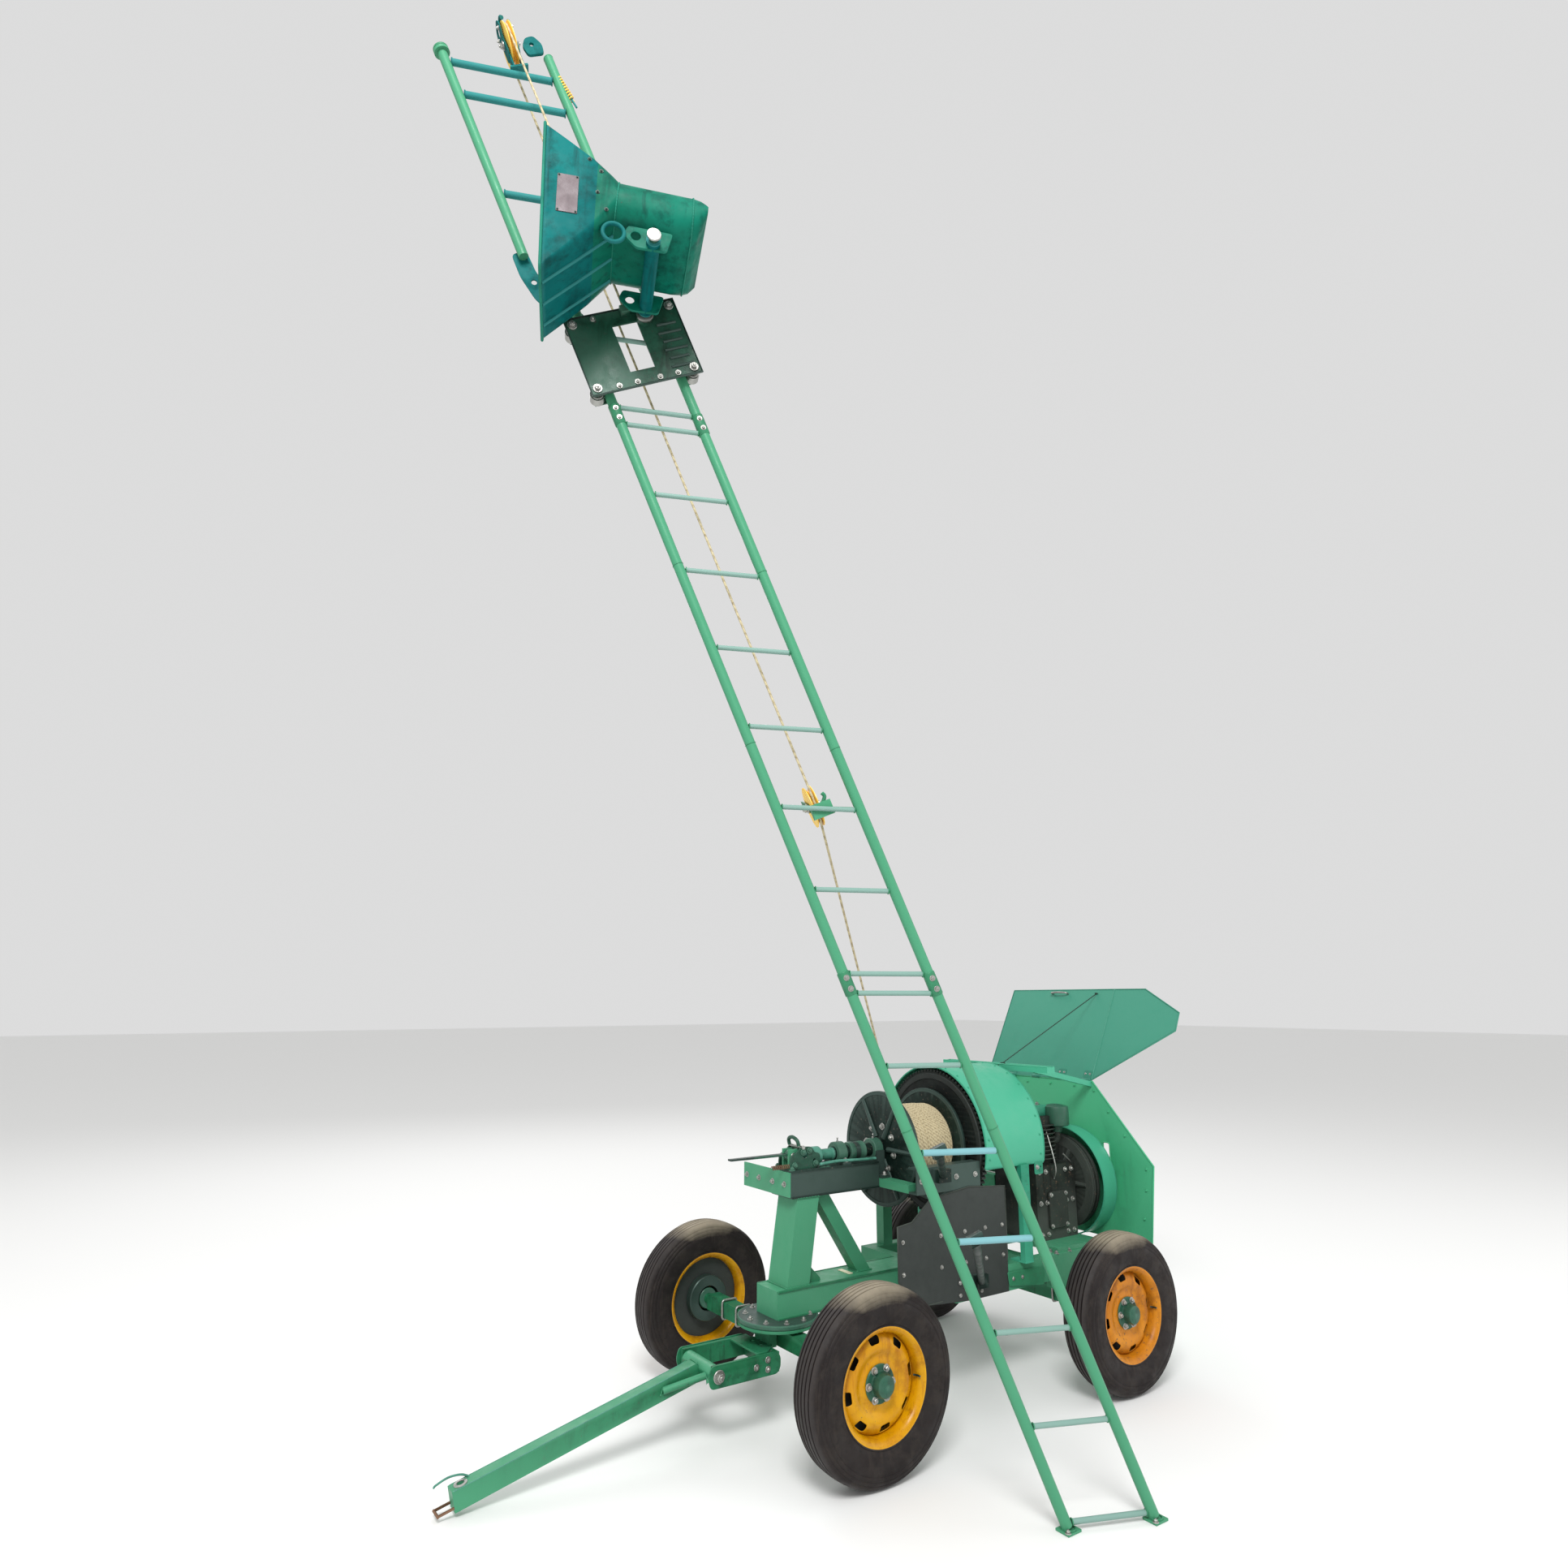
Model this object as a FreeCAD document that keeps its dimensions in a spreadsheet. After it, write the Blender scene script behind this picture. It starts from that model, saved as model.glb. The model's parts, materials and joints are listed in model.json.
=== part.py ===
import FreeCAD, Part
import math
import os

# Towable ladder hoist.  Millimetres, +Z up, -X towards the drawbar, -Y towards the ladder.
# Each named sub-part is one node.  Sizes live in the spreadsheet and drive the shapes.

os.makedirs("parts", exist_ok=True)
doc = FreeCAD.newDocument("ladder_hoist")
V = FreeCAD.Vector

SIZES = {
    # trailer
    "wheelbase": 1580, "track_width": 1400, "tyre_radius": 365, "tyre_breadth": 170,
    "rim_radius": 205, "stub_radius": 25, "axle_beam": 70, "axle_length": 1180,
    "rail_length": 1260, "rail_breadth": 60, "rail_height": 120, "rail_spacing": 660,
    "rail_bottom": 446, "ring_radius": 180, "king_pin_radius": 20,
    # upper frame and winch
    "beam_length": 425, "beam_height": 120, "beam_bottom": 953,
    "drum_axis_height": 1120, "drum_flange_radius": 275, "pack_radius": 200,
    "drum_length": 330, "drum_front": 640, "shaft_radius": 30, "gear_radius": 375,
    "guard_radius": 395, "guard_length": 430, "sheet": 4,
    # engine
    "flywheel_radius": 250, "crank_height": 850, "engine_length": 320,
    # drawbar
    "drawbar_length": 1090, "drawbar_height": 75, "drawbar_breadth": 60, "tow_pin_radius": 14,
    # ladder
    "ladder_length": 6480, "ladder_spacing": 350, "stile_radius": 21.2, "rung_radius": 10,
    "rung_pitch": 350, "lean_degrees": 22.54, "swing_degrees": 21.84,
    "sheave_pitch_radius": 75, "sheave_radius": 88, "rope_radius": 5,
    # carriage and bucket
    "roller_radius": 30, "roller_breadth": 40, "roller_pitch": 300,
    "bucket_depth": 420, "pivot_radius": 16,
    # fits
    "seat_gap": 0.3, "running_gap": 0.05,
}
sheet = doc.addObject("Spreadsheet::Sheet", "Sizes")
for row, (alias, value) in enumerate(SIZES.items(), start=1):
    sheet.set("A%d" % row, alias)
    sheet.set("B%d" % row, str(value))
    sheet.setAlias("B%d" % row, alias)
doc.recompute()


class Names:
    pass


S = Names()
for alias, value in SIZES.items():
    setattr(S, alias, float(value))
GAP, FIT = S.seat_gap, S.running_gap
nodes = {}


# ---------- helpers ----------
def bind(obj, **links):
    """Drive a primitive's properties from numbers or spreadsheet expressions."""
    for prop, value in links.items():
        if isinstance(value, str):
            obj.setExpression(prop, value)
        else:
            setattr(obj, prop, value)
    return obj


def box(x, y, z, at, rotation=None):
    """A box with its low corner at 'at'."""
    obj = bind(doc.addObject("Part::Box", "block"), Length=x, Width=y, Height=z)
    obj.Placement = FreeCAD.Placement(V(*at), rotation or FreeCAD.Rotation())
    return obj


AXES = {"X": V(1, 0, 0), "Y": V(0, 1, 0), "Z": V(0, 0, 1)}


def rod(radius, length, at, axis="Z"):
    """A round bar starting at 'at' and running along an axis name or a vector."""
    obj = bind(doc.addObject("Part::Cylinder", "bar"), Radius=radius, Height=length)
    way = AXES[axis] if isinstance(axis, str) else axis
    obj.Placement = FreeCAD.Placement(V(*at), FreeCAD.Rotation(V(0, 0, 1), way))
    return obj


def rod_between(radius, a, b, inset_a=0.0, inset_b=0.0):
    way = (b - a).normalize()
    start = a + way * inset_a
    return rod(radius, (b - way * inset_b - start).Length, tuple(start), way)


def join(*parts):
    obj = doc.addObject("Part::MultiFuse", "joined")
    obj.Shapes = list(parts)
    return obj


def cut(base, tool):
    obj = doc.addObject("Part::Cut", "cut")
    obj.Base, obj.Tool = base, tool
    return obj


def group(*parts):
    obj = doc.addObject("Part::Compound", "group")
    obj.Links = list(parts)
    return obj


def plain(shape):
    obj = doc.addObject("Part::Feature", "solid")
    obj.Shape = shape
    return obj


def prism(points, y0, y1):
    """A side profile in X and Z, extruded from y0 to y1."""
    wire = Part.makePolygon([V(x, y0, z) for x, z in points] + [V(points[0][0], y0, points[0][1])])
    return plain(Part.Face(wire).extrude(V(0, y1 - y0, 0)))


def turned(points, at, axis="Y"):
    """A solid of revolution from (radius, height) points about an axis through 'at'."""
    wire = Part.makePolygon([V(r, 0, h) for r, h in points] + [V(points[0][0], 0, points[0][1])])
    shape = Part.Face(wire).revolve(V(0, 0, 0), V(0, 0, 1), 360)
    way = AXES[axis] if isinstance(axis, str) else axis
    obj = plain(shape)
    obj.Placement = FreeCAD.Placement(V(*at), FreeCAD.Rotation(V(0, 0, 1), way))
    return obj


def node(name, obj):
    obj.Label = name
    nodes[name] = obj
    return obj


# ---------- chassis ----------
half_space = S.rail_spacing / 2
rail_low, rail_top = S.rail_bottom, S.rail_bottom + S.rail_height
sides = (-1, 1)


def rail_y(side):
    return side * half_space - S.rail_breadth / 2


def channel(length, at, open_side):
    """A C-section bar along X; its open side faces +Y or -Y."""
    web = 8
    outer = box(length, "Sizes.rail_breadth", "Sizes.rail_height", at)
    shift = web if open_side > 0 else -1
    inner = box(length, "Sizes.rail_breadth - %d" % (web - 1), "Sizes.rail_height - %d" % (2 * web),
                (at[0] - 1, at[1] + shift, at[2] + web))
    inner.setExpression("Length", length + " + 2")
    return cut(outer, inner)


rail_start = 850
node("chassis_rails", group(*[channel("Sizes.rail_length", (rail_start, rail_y(s), rail_low), -s)
                              for s in sides]))
spine_end = rail_start - 60 - GAP
node("chassis_spine", box(spine_end - 200, 170, "Sizes.rail_height", (200, -85, rail_low)))

cross_width = S.rail_spacing - S.rail_breadth - 2 * GAP
cross_at = (1180, 1520, 2040)
front_block = cut(box(260 - GAP, 170, "Sizes.rail_height", (-60, -85, rail_low)),
                  rod("Sizes.king_pin_radius + Sizes.running_gap", 50, (0, 0, rail_low - 10)))
full_width = S.rail_spacing + S.rail_breadth
beam_top = S.beam_bottom + S.beam_height
node("cross_members", group(
    front_block,
    box(60, full_width, "Sizes.rail_height", (rail_start - 60 - GAP, -full_width / 2, rail_low)),
    *[box(60, cross_width, 60, (x, -cross_width / 2, rail_low)) for x in cross_at],
    box(60, cross_width, 40, (560, -cross_width / 2, S.beam_bottom))))

node("top_beams", group(
    *[channel("Sizes.beam_length", (560, rail_y(s), S.beam_bottom), -s) for s in sides],
    box(540 - GAP, 160, "Sizes.beam_height", (20, -80, S.beam_bottom))))

post_low, post_high = rail_top + GAP, S.beam_bottom - GAP
lean_post = [(0, post_low), (125, post_low), (185, post_high), (60, post_high)]
node("front_post", prism(lean_post, -80, 80))
brace = [(190, post_high), (270, post_high), (530, post_low), (450, post_low)]
node("post_brace", prism(brace, -35, 35))
node("rear_posts", group(
    *[box(60, "Sizes.rail_breadth", post_high - post_low, (900, rail_y(s), post_low)) for s in sides]))

# ---------- rear axle and turntable ----------
axle_z = S.tyre_radius
stub_reach = S.track_width / 2 + 70


def axle(x):
    half = S.axle_beam / 2
    beam = box("Sizes.axle_beam", "Sizes.axle_length", "Sizes.axle_beam",
               (x - half, -S.axle_length / 2, axle_z - half))
    stub = rod("Sizes.stub_radius", 2 * stub_reach, (x, -stub_reach, axle_z), "Y")
    return join(beam, stub)


axle_top = axle_z + S.axle_beam / 2
pad_height = rail_low - axle_top - GAP
node("rear_axle", join(axle(S.wheelbase),
                       *[box(160, 60, pad_height, (S.wheelbase - 80, rail_y(s), axle_top)) for s in sides]))
ring_low = axle_top + 15
node("turntable_upper", cut(rod("Sizes.ring_radius", rail_low - GAP - (ring_low + 14), (0, 0, ring_low + 14)),
                            rod("Sizes.king_pin_radius + Sizes.running_gap", 80, (0, 0, ring_low))))
node("front_axle", join(axle(0), box(160, 220, ring_low - axle_top - GAP, (-80, -110, axle_top))))
node("turntable_lower", join(rod("Sizes.ring_radius", 14 - GAP, (0, 0, ring_low)),
                             rod("Sizes.king_pin_radius", rail_low + 30 - ring_low, (0, 0, ring_low))))
hinge_x, hinge_z = -400, 300
fork_y = 130
node("drawbar_fork", join(
    *[box(340, 20, 80, (hinge_x - 25, s * fork_y - 10, hinge_z - 40)) for s in sides],
    box(20, 2 * fork_y + 20, 80, (hinge_x + 315 - 20, -fork_y - 10, hinge_z - 40)),
    box(40, 120, 70, (hinge_x + 314, -60, axle_z - 35)),
    rod(16, 2 * fork_y, (hinge_x, -fork_y, hinge_z), "Y")))

# ---------- drawbar ----------
droop = math.degrees(math.asin((hinge_z - 55) / S.drawbar_length))
bar_turn = FreeCAD.Rotation(V(0, 1, 0), -droop)
bar_place = FreeCAD.Placement(V(hinge_x, 0, hinge_z), bar_turn)


def on_bar(obj):
    obj.Placement = bar_place.multiply(obj.Placement)
    return obj


def bar_box(x, y, z, at):
    return on_bar(box(x, y, z, at))


def bar_rod(radius, length, at, axis):
    return on_bar(rod(radius, length, at, axis))


half_b, half_h = S.drawbar_breadth / 2, S.drawbar_height / 2
tip_x = -S.drawbar_length
drawbar = join(bar_box(-tip_x - 30, "Sizes.drawbar_breadth", "Sizes.drawbar_height", (tip_x, -half_b, -half_h)),
               bar_rod(34, 2 * fork_y - 24, (0, 12 - fork_y, 0), "Y"))
drawbar = cut(cut(drawbar, bar_rod(16 + FIT, 400, (0, -200, 0), "Y")),
              bar_rod("Sizes.tow_pin_radius", 200, (tip_x + 40, 0, -100), "Z"))
node("drawbar", drawbar)
loop = [(tip_x - 0.3, -26), (tip_x - 60, -26), (tip_x - 60, 26), (tip_x - 0.3, 26)]
node("tow_loop", join(*[on_bar(rod_between(5, V(a[0], a[1], -20), V(b[0], b[1], -20), -w, -w))
                        for a, b, w in zip(loop, loop[1:], (0, 4, 0))]))


# ---------- wheels ----------
def wheel(tag, x, side):
    y = side * S.track_width / 2
    half, bead = S.tyre_breadth / 2, S.rim_radius + GAP
    r = S.tyre_radius
    node("tyre_" + tag, turned([(bead, -62), (bead + 20, -62), (bead + 20, -75), (r - 65, -half), (r - 20, 5 - half), (r, -half + 27),
                                (r, half - 27), (r - 20, half - 5), (r - 65, half), (bead + 20, 75), (bead + 20, 62),
                                (bead, 62)], (x, y, axle_z)))
    bore = S.stub_radius + FIT
    barrel = turned([(S.rim_radius - 8, -70), (S.rim_radius + 17, -70), (S.rim_radius + 17, -62 - GAP),
                     (S.rim_radius, -62 - GAP), (S.rim_radius, 62 + GAP), (S.rim_radius + 17, 62 + GAP),
                     (S.rim_radius + 17, 70), (S.rim_radius - 8, 70)], (x, y, axle_z))
    face = 20 * side
    disc = turned([(bore, face - 4), (S.rim_radius - 6, face - 4), (S.rim_radius - 6, face + 4), (bore, face + 4)],
                  (x, y, axle_z))
    hub = turned([(bore, -60), (62, -60), (62, 60), (bore, 60)], (x, y, axle_z))
    node("rim_" + tag, join(barrel, disc, hub))


for tag, x, side in (("front_near", 0, -1), ("front_far", 0, 1),
                     ("rear_near", S.wheelbase, -1), ("rear_far", S.wheelbase, 1)):
    wheel(tag, x, side)

# ---------- winch ----------
dz, d0 = S.drum_axis_height, S.drum_front
flange = 12
d1 = d0 + S.drum_length
core = S.pack_radius - 40
node("winch_drum", join(
    rod(core, "Sizes.drum_length", (d0, 0, dz), "X"),
    rod("Sizes.drum_flange_radius", flange, (d0, 0, dz), "X"),
    rod("Sizes.drum_flange_radius", flange, (d1 - flange, 0, dz), "X"),
    rod("Sizes.shaft_radius", 760, (320, 0, dz), "X"),
    rod(44, 90, (420, 0, dz), "X")))
node("rope_pack", cut(rod("Sizes.pack_radius", S.drum_length - 2 * flange - 2 * GAP, (d0 + flange + GAP, 0, dz), "X"),
                      rod(core + GAP, S.drum_length, (d0, 0, dz), "X")))
node("bull_gear", cut(rod("Sizes.gear_radius", 30, (d1 + 35, 0, dz), "X"),
                      rod("Sizes.shaft_radius + Sizes.seat_gap", 60, (d1 + 20, 0, dz), "X")))


def bearing(x, low, half_foot=100, half_body=60):
    """A pedestal bearing with its foot at height 'low'."""
    block = join(box(50, 2 * half_foot, 14, (x, -half_foot, low)),
                 box(50, 2 * half_body, dz - low, (x, -half_body, low)),
                 rod("Sizes.shaft_radius + 16", 50, (x, 0, dz), "X"))
    return cut(block, rod("Sizes.shaft_radius + Sizes.running_gap", 90, (x - 20, 0, dz), "X"))


pillar_top = dz - 110
pillar_x = d1 + 75
pillar = join(box(60, 200, pillar_top - rail_top + 60, (pillar_x, -100, rail_top - 60)),
                            box(60, cross_width, 60, (pillar_x, -cross_width / 2, rail_top - 60)))
node("drum_bearings", group(bearing(335, beam_top + GAP, 78, 46), bearing(565, S.beam_bottom + 40 + GAP), bearing(pillar_x + 5, pillar_top + GAP), pillar))
g0 = d1 + 30
guard_ring = cut(rod("Sizes.guard_radius", "Sizes.guard_length", (g0, 0, dz), "X"),
                 rod("Sizes.guard_radius - Sizes.sheet", 420, (g0 - 20, 0, dz), "X"))
guard_foot = 90
node("gear_guard", join(
    cut(guard_ring, box(500, 900, 500, (g0 - 50, -450, dz - guard_foot - 500))),
    *[box(60, 30, dz - guard_foot + 6 - rail_top - GAP,
          (g0 + 240, s * 384 - 15, rail_top + GAP)) for s in sides],
    *[box(60, 100, 8, (g0 + 240, s * 350 - 50, rail_top + GAP)) for s in sides]))
guard_y = half_space + 30 + GAP
node("lower_guard", prism([(880, rail_low), (1150, rail_low), (1150, 940), (900, 960), (640, 930), (520, 840),
                           (430, 830), (430, 590), (560, 470)], -guard_y - 4, -guard_y))

# ---------- engine ----------
base_x, base_top = 1540, rail_top + 24
node("engine_base", box(360, S.rail_spacing + 40, 24 - GAP, (base_x, -S.rail_spacing / 2 - 20, rail_top + GAP)))
cz, e0, crank_y = S.crank_height, 1560, -60
e1 = e0 + S.engine_length
block = join(box("Sizes.engine_length", 300, 380, (e0, crank_y - 150, base_top + GAP)),
             rod(100, 260, (e0 + 160, crank_y, base_top + 370)),
             *[rod(122, 6, (e0 + 160, crank_y, base_top + 405 + 22 * i)) for i in range(9)])
node("engine_block", cut(block, rod(25 + FIT, 200, (e1 - 120, crank_y, cz), "X")))
node("flywheel", join(rod("Sizes.flywheel_radius", 55, (e1 + 30, crank_y, cz), "X"),
                      rod(25, 190, (e1 - 105, crank_y, cz), "X")))
node("fuel_tank", box(220, 160, 300, (e0, crank_y + 160, base_top + GAP)))
node("muffler", join(rod(36, 280, (e0 + 25, crank_y + 108, base_top + 380 + 2 * GAP)),
                     rod(18, 340, (e0 + 25, crank_y + 108, base_top + 380 + 2 * GAP))))

# ---------- engine cover: rear wall, roof bar, hinged lid ----------
wall_x, wall_top = 2060, 1400
rail_side = half_space + 34
wall_points = [(-545, 500), (-600, 980), (-230, wall_top), (590, wall_top), (620, 980), (590, 500), (rail_side, 500),
               (rail_side, rail_top + GAP), (-rail_side, rail_top + GAP), (-rail_side, 500)]


def cross_sheet(points, x0, x1):
    """A flat shape given in Y and Z, extruded from x0 to x1."""
    wire = Part.makePolygon([V(x0, y, z) for y, z in points] + [V(x0, *points[0])])
    return plain(Part.Face(wire).extrude(V(x1 - x0, 0, 0)))


node("rear_wall", cut(cross_sheet(wall_points, wall_x, wall_x + 4),
                      box(20, 40, 110, (wall_x - 5, -320, 960))))
fly_ring = cut(rod("Sizes.flywheel_radius + 42", 110, (wall_x - 110 - GAP, crank_y, cz), "X"),
               rod("Sizes.flywheel_radius + 39", 150, (wall_x - 130, crank_y, cz), "X"))
node("flywheel_guard", cut(fly_ring, box(200, 400, 340, (wall_x - 150, crank_y - 60, cz - 320))))
roof_x, roof_z = 1470, 1480
leg_y = half_space
roof_edge = [(roof_x + 60 + GAP, roof_z), (roof_x + 60 + GAP, roof_z + 30), (wall_x - GAP, wall_top),
             (wall_x - GAP, wall_top - 30)]
node("roof_frame", group(
    box(60, 800, 30, (roof_x, -410, roof_z)),
    prism(roof_edge, -225, -195), prism(roof_edge, 355, 385),
    box(40, 30, roof_z - rail_top - 2 * GAP, (roof_x + 10, leg_y - 15, rail_top + GAP))))
lid_z = wall_top + 5 + GAP
lid_tilt = 28.0
lid_turn = FreeCAD.Placement(V(wall_x + 2, 0, lid_z), FreeCAD.Rotation(V(0, 1, 0), lid_tilt))
lid_panel = cross_sheet([(-225, 0), (585, 0), (585, 590), (-225, 590)], -2, 1)
lid_flap = cross_sheet([(-225, 0), (-225, 590), (-440, 590), (-700, 440), (-700, 330)], -2, 1)
lid = join(lid_panel, lid_flap, rod(5, 800, (-0.5, -220, 0), "Y"))
lid.Placement = lid_turn
node("hood", lid)
string_top = lid_turn.multVec(V(-2 - GAP - 2.5, -100, 560))
string_low = V(roof_x + 30, -60, roof_z + 30 + 3 + GAP)
node("hood_string", rod_between(2.5, string_top, string_low))

# ---------- front plate and clutch lever ----------
lever_at = (45, 0, beam_top + GAP)
lug_bore = rod(10 + FIT, 80, (lever_at[0] + 25, -40, lever_at[2] + 60), "Y")
node("front_plate", group(
    box(8, 400, 110, (11.7, -80, S.beam_bottom + 5)),
    *[cut(box(50, 12, 90, (lever_at[0], y, lever_at[2])), lug_bore) for y in (-30, 18)]))
lever_pivot = V(lever_at[0] + 25, 0, lever_at[2] + 60)
node("clutch_lever", join(rod(10, 62, (lever_pivot.x, -31, lever_pivot.z), "Y"),
                          rod(22, 34, (lever_pivot.x, -17, lever_pivot.z), "Y"),
                          box(330, 30, 8, (lever_pivot.x - 340, -15, lever_pivot.z + 2))))

# ---------- ladder frame: X across the stiles, Y away from the bucket, Z up the stiles ----------
swing, lean = math.radians(S.swing_degrees), math.radians(S.lean_degrees)
across = V(math.cos(swing), -math.sin(swing), 0)
up_stile = across * -math.sin(lean) + V(0, 0, math.cos(lean))
square = across * math.cos(lean) + V(0, 0, math.sin(lean))
behind = up_stile.cross(square)
foot = V(349, -1359, 0)
ladder = FreeCAD.Placement(FreeCAD.Matrix(square.x, behind.x, up_stile.x, foot.x,
                                          square.y, behind.y, up_stile.y, foot.y,
                                          square.z, behind.z, up_stile.z, foot.z, 0, 0, 0, 1))


def on_ladder(obj):
    obj.Placement = ladder.multiply(obj.Placement)
    return obj


def lrod(radius, length, at, axis="Z"):
    return on_ladder(rod(radius, length, at, axis))


def lbox(x, y, z, at, rotation=None):
    return on_ladder(box(x, y, z, at, rotation))


gauge = S.ladder_spacing * math.cos(lean)
drop = math.tan(lean)                      # fall of a level rung along the stiles, per mm across
level = V(math.cos(lean), 0, -math.sin(lean))
stile_r = S.stile_radius
head_base = S.ladder_length - 1080     # where the straight ladder ends and its head begins
splits = (2090, head_base - 800)
low_end = 18.0
left_top = head_base - 300


def stile(p, first, last):
    ends = [first] + [s - drop * p for s in splits] + [last]
    return group(*[lrod("Sizes.stile_radius", b - a - GAP, (p, 0, a)) for a, b in zip(ends, ends[1:])])


node("ladder_stile_left", stile(0, low_end, left_top))
node("ladder_stile_right", stile(gauge, low_end - drop * gauge, S.ladder_length - drop * gauge))

rung_inset = stile_r / math.cos(lean) + S.rung_radius * drop + GAP


def level_bar(radius, p0, b0, p1, inset0, inset1):
    """A level bar from p0 to p1, starting at height b0 on the stile at p0."""
    length = (p1 - p0) / math.cos(lean) - inset0 - inset1
    start = V(p0, 0, b0) + level * inset0
    return lrod(radius, length, tuple(start), level)


lower_rungs = [30 + (S.rung_pitch - 5) * i for i in range(6)] + [2050, 2130]
upper_count = int((splits[1] - 200 - 2480) // S.rung_pitch) + 1
upper_rungs = [2480 + S.rung_pitch * i for i in range(upper_count)]
rung_heights = lower_rungs + upper_rungs + [splits[1] - 40, splits[1] + 40, head_base - 410]
node("ladder_rungs", group(*[level_bar("Sizes.rung_radius", 0, b, gauge, rung_inset, rung_inset)
                             for b in rung_heights]))
# Half sleeves on the inner side of each splice, clear of the rollers' path.
sleeve = []
for p, inward in ((0, 1), (gauge, -1)):
    for s in splits:
        b = s - drop * p
        ring = cut(lrod("Sizes.stile_radius + 3", 16, (p, 0, b - 8)),
                   lrod("Sizes.stile_radius + Sizes.seat_gap", 30, (p, 0, b - 15)))
        sleeve.append(cut(ring, lbox(60, 60, 40, (p - 60 if inward > 0 else p, -30, b - 20))))
node("splice_collars", group(*sleeve))
pads = []
for p in (0, gauge):
    spot = foot + across * (p / math.cos(lean))
    pads.append(box(70, 60, 8 - GAP, (spot.x - 35, spot.y - 30, 0)))
node("ladder_feet", group(*pads))

# Head of the ladder: offset upper rail, guide plate, cross bars.
outer_p, outer_low, outer_high = -120, head_base, head_base + 1040
node("upper_rail", group(lrod("Sizes.stile_radius", outer_high - outer_low, (outer_p, 0, outer_low)),
                         lrod(34, 12, (outer_p, 0, outer_high + GAP))))


def ladder_sheet(points, y0, y1):
    return on_ladder(prism(points, y0, y1))


back = stile_r + GAP
curve = [(outer_p - 40, 40), (outer_p - 40, -70), (outer_p - 15, -190), (outer_p + 40, -280), (outer_p + 95, -340),
         (35, -340), (35, -305), (-10, -240), (outer_p + 70, -170), (outer_p + 30, -70), (outer_p + 25, 40)]
curve = [(p, head_base + b) for p, b in curve]
node("guide_plate", ladder_sheet(curve, back, back + 6))
inset = stile_r / math.cos(lean) + 15 * drop + GAP
top_bar = head_base + 1000
bars = [level_bar(15, outer_p, b, gauge, inset, inset) for b in (top_bar, top_bar - 170, top_bar - 680)]

# ---------- rope, sheaves ----------
pr = S.sheave_pitch_radius
rope_p = 180.0


def ladder_point(p, y, b):
    return ladder.multVec(V(p, y, b))


head_b = top_bar + 40.0
bar_b = top_bar - drop * (rope_p - outer_p)   # top bar's height where the head sheave stands
head_centre = V(rope_p, 0, head_b)


def sheave(centre, axis):
    """A grooved rope wheel about 'axis' (a unit vector) through 'centre'."""
    r, half = S.sheave_radius, 15
    groove = pr - S.rope_radius - GAP
    prof = [(12 + FIT, -half), (r, -half), (r, -half + 3), (groove, -3), (groove, 3), (r, half - 3), (r, half),
            (12 + FIT, half)]
    return turned(prof, tuple(centre), axis)


head_world = ladder.multVec(head_centre)
node("head_sheave", sheave(head_world, square))
cheek_gap = 19
head_bracket = []
for s in (-1, 1):
    low = bar_b + 15 / math.cos(lean) + 40 * drop + 2
    head_bracket.append(lbox(6, 40, head_b - low + 20, (rope_p + s * cheek_gap - 3 + s * 3, -20, low)))
head_bracket.append(lrod(12, 2 * cheek_gap + 20, (rope_p - cheek_gap - 10, 0, head_b), "X"))
head_bracket.append(lbox(80, 40, 8, (rope_p - 40, -20, bar_b + 15 / math.cos(lean) + 40 * drop + 1.2 * GAP)))
node("head_bars", group(*bars, join(*head_bracket)))

# The rope rises from the drum, turns over the middle sheave and climbs behind the ladder.
corner = ladder_point(rope_p, pr, 2760)
drum_x = 880.0
run_r = S.pack_radius + S.rope_radius + GAP
flat = V(0, corner.y, corner.z - dz)
reach = flat.Length
swing_up = math.atan2(flat.z, flat.y)
touch = swing_up - math.acos(run_r / reach)
leave = V(drum_x, run_r * math.cos(touch), dz + run_r * math.sin(touch))
way_in = (corner - leave).normalize()
way_out = V(up_stile)
turn = way_in.getAngle(way_out)
trim = pr * math.tan(turn / 2)
arc_in = corner - way_in * trim
arc_out = corner + way_out * trim
inward = (way_out - way_in).normalize()
mid_centre = corner + inward * (pr / math.cos(turn / 2))
arc_mid = mid_centre - inward * pr
mid_axis = way_in.cross(way_out).normalize()
head_in = ladder_point(rope_p, pr, head_b)
head_out = ladder_point(rope_p, -pr, head_b)
head_top = ladder_point(rope_p, 0, head_b + pr)
carriage_top = head_base - 400
fall_end = carriage_top + 25


def sweep_rope(path, start, direction):
    ring = Part.Wire(Part.makeCircle(S.rope_radius, start, direction))
    return Part.Wire(path).makePipeShell([ring], True, False)


edges = [Part.makeLine(leave + way_in * 6, arc_in), Part.Arc(arc_in, arc_mid, arc_out).toShape(),
         Part.makeLine(arc_out, head_in), Part.Arc(head_in, head_top, head_out).toShape()]
node("hoist_rope", plain(sweep_rope(edges, leave + way_in * 6, way_in)))
fall_low = ladder_point(rope_p, -pr, fall_end + GAP)
node("rope_fall", rod_between(S.rope_radius, fall_low, head_out - up_stile * GAP))
node("mid_sheave", sheave(mid_centre, mid_axis))
hang_b = upper_rungs[1] - drop * rope_p
hang = ladder_point(rope_p, S.rung_radius + 12, hang_b)
arm_way = (hang - mid_centre).normalize()
arm_side = mid_axis.cross(arm_way).normalize()
arm_turn = FreeCAD.Matrix(mid_axis.x, arm_side.x, arm_way.x, 0, mid_axis.y, arm_side.y, arm_way.y, 0,
                          mid_axis.z, arm_side.z, arm_way.z, 0, 0, 0, 0, 1)


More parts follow.
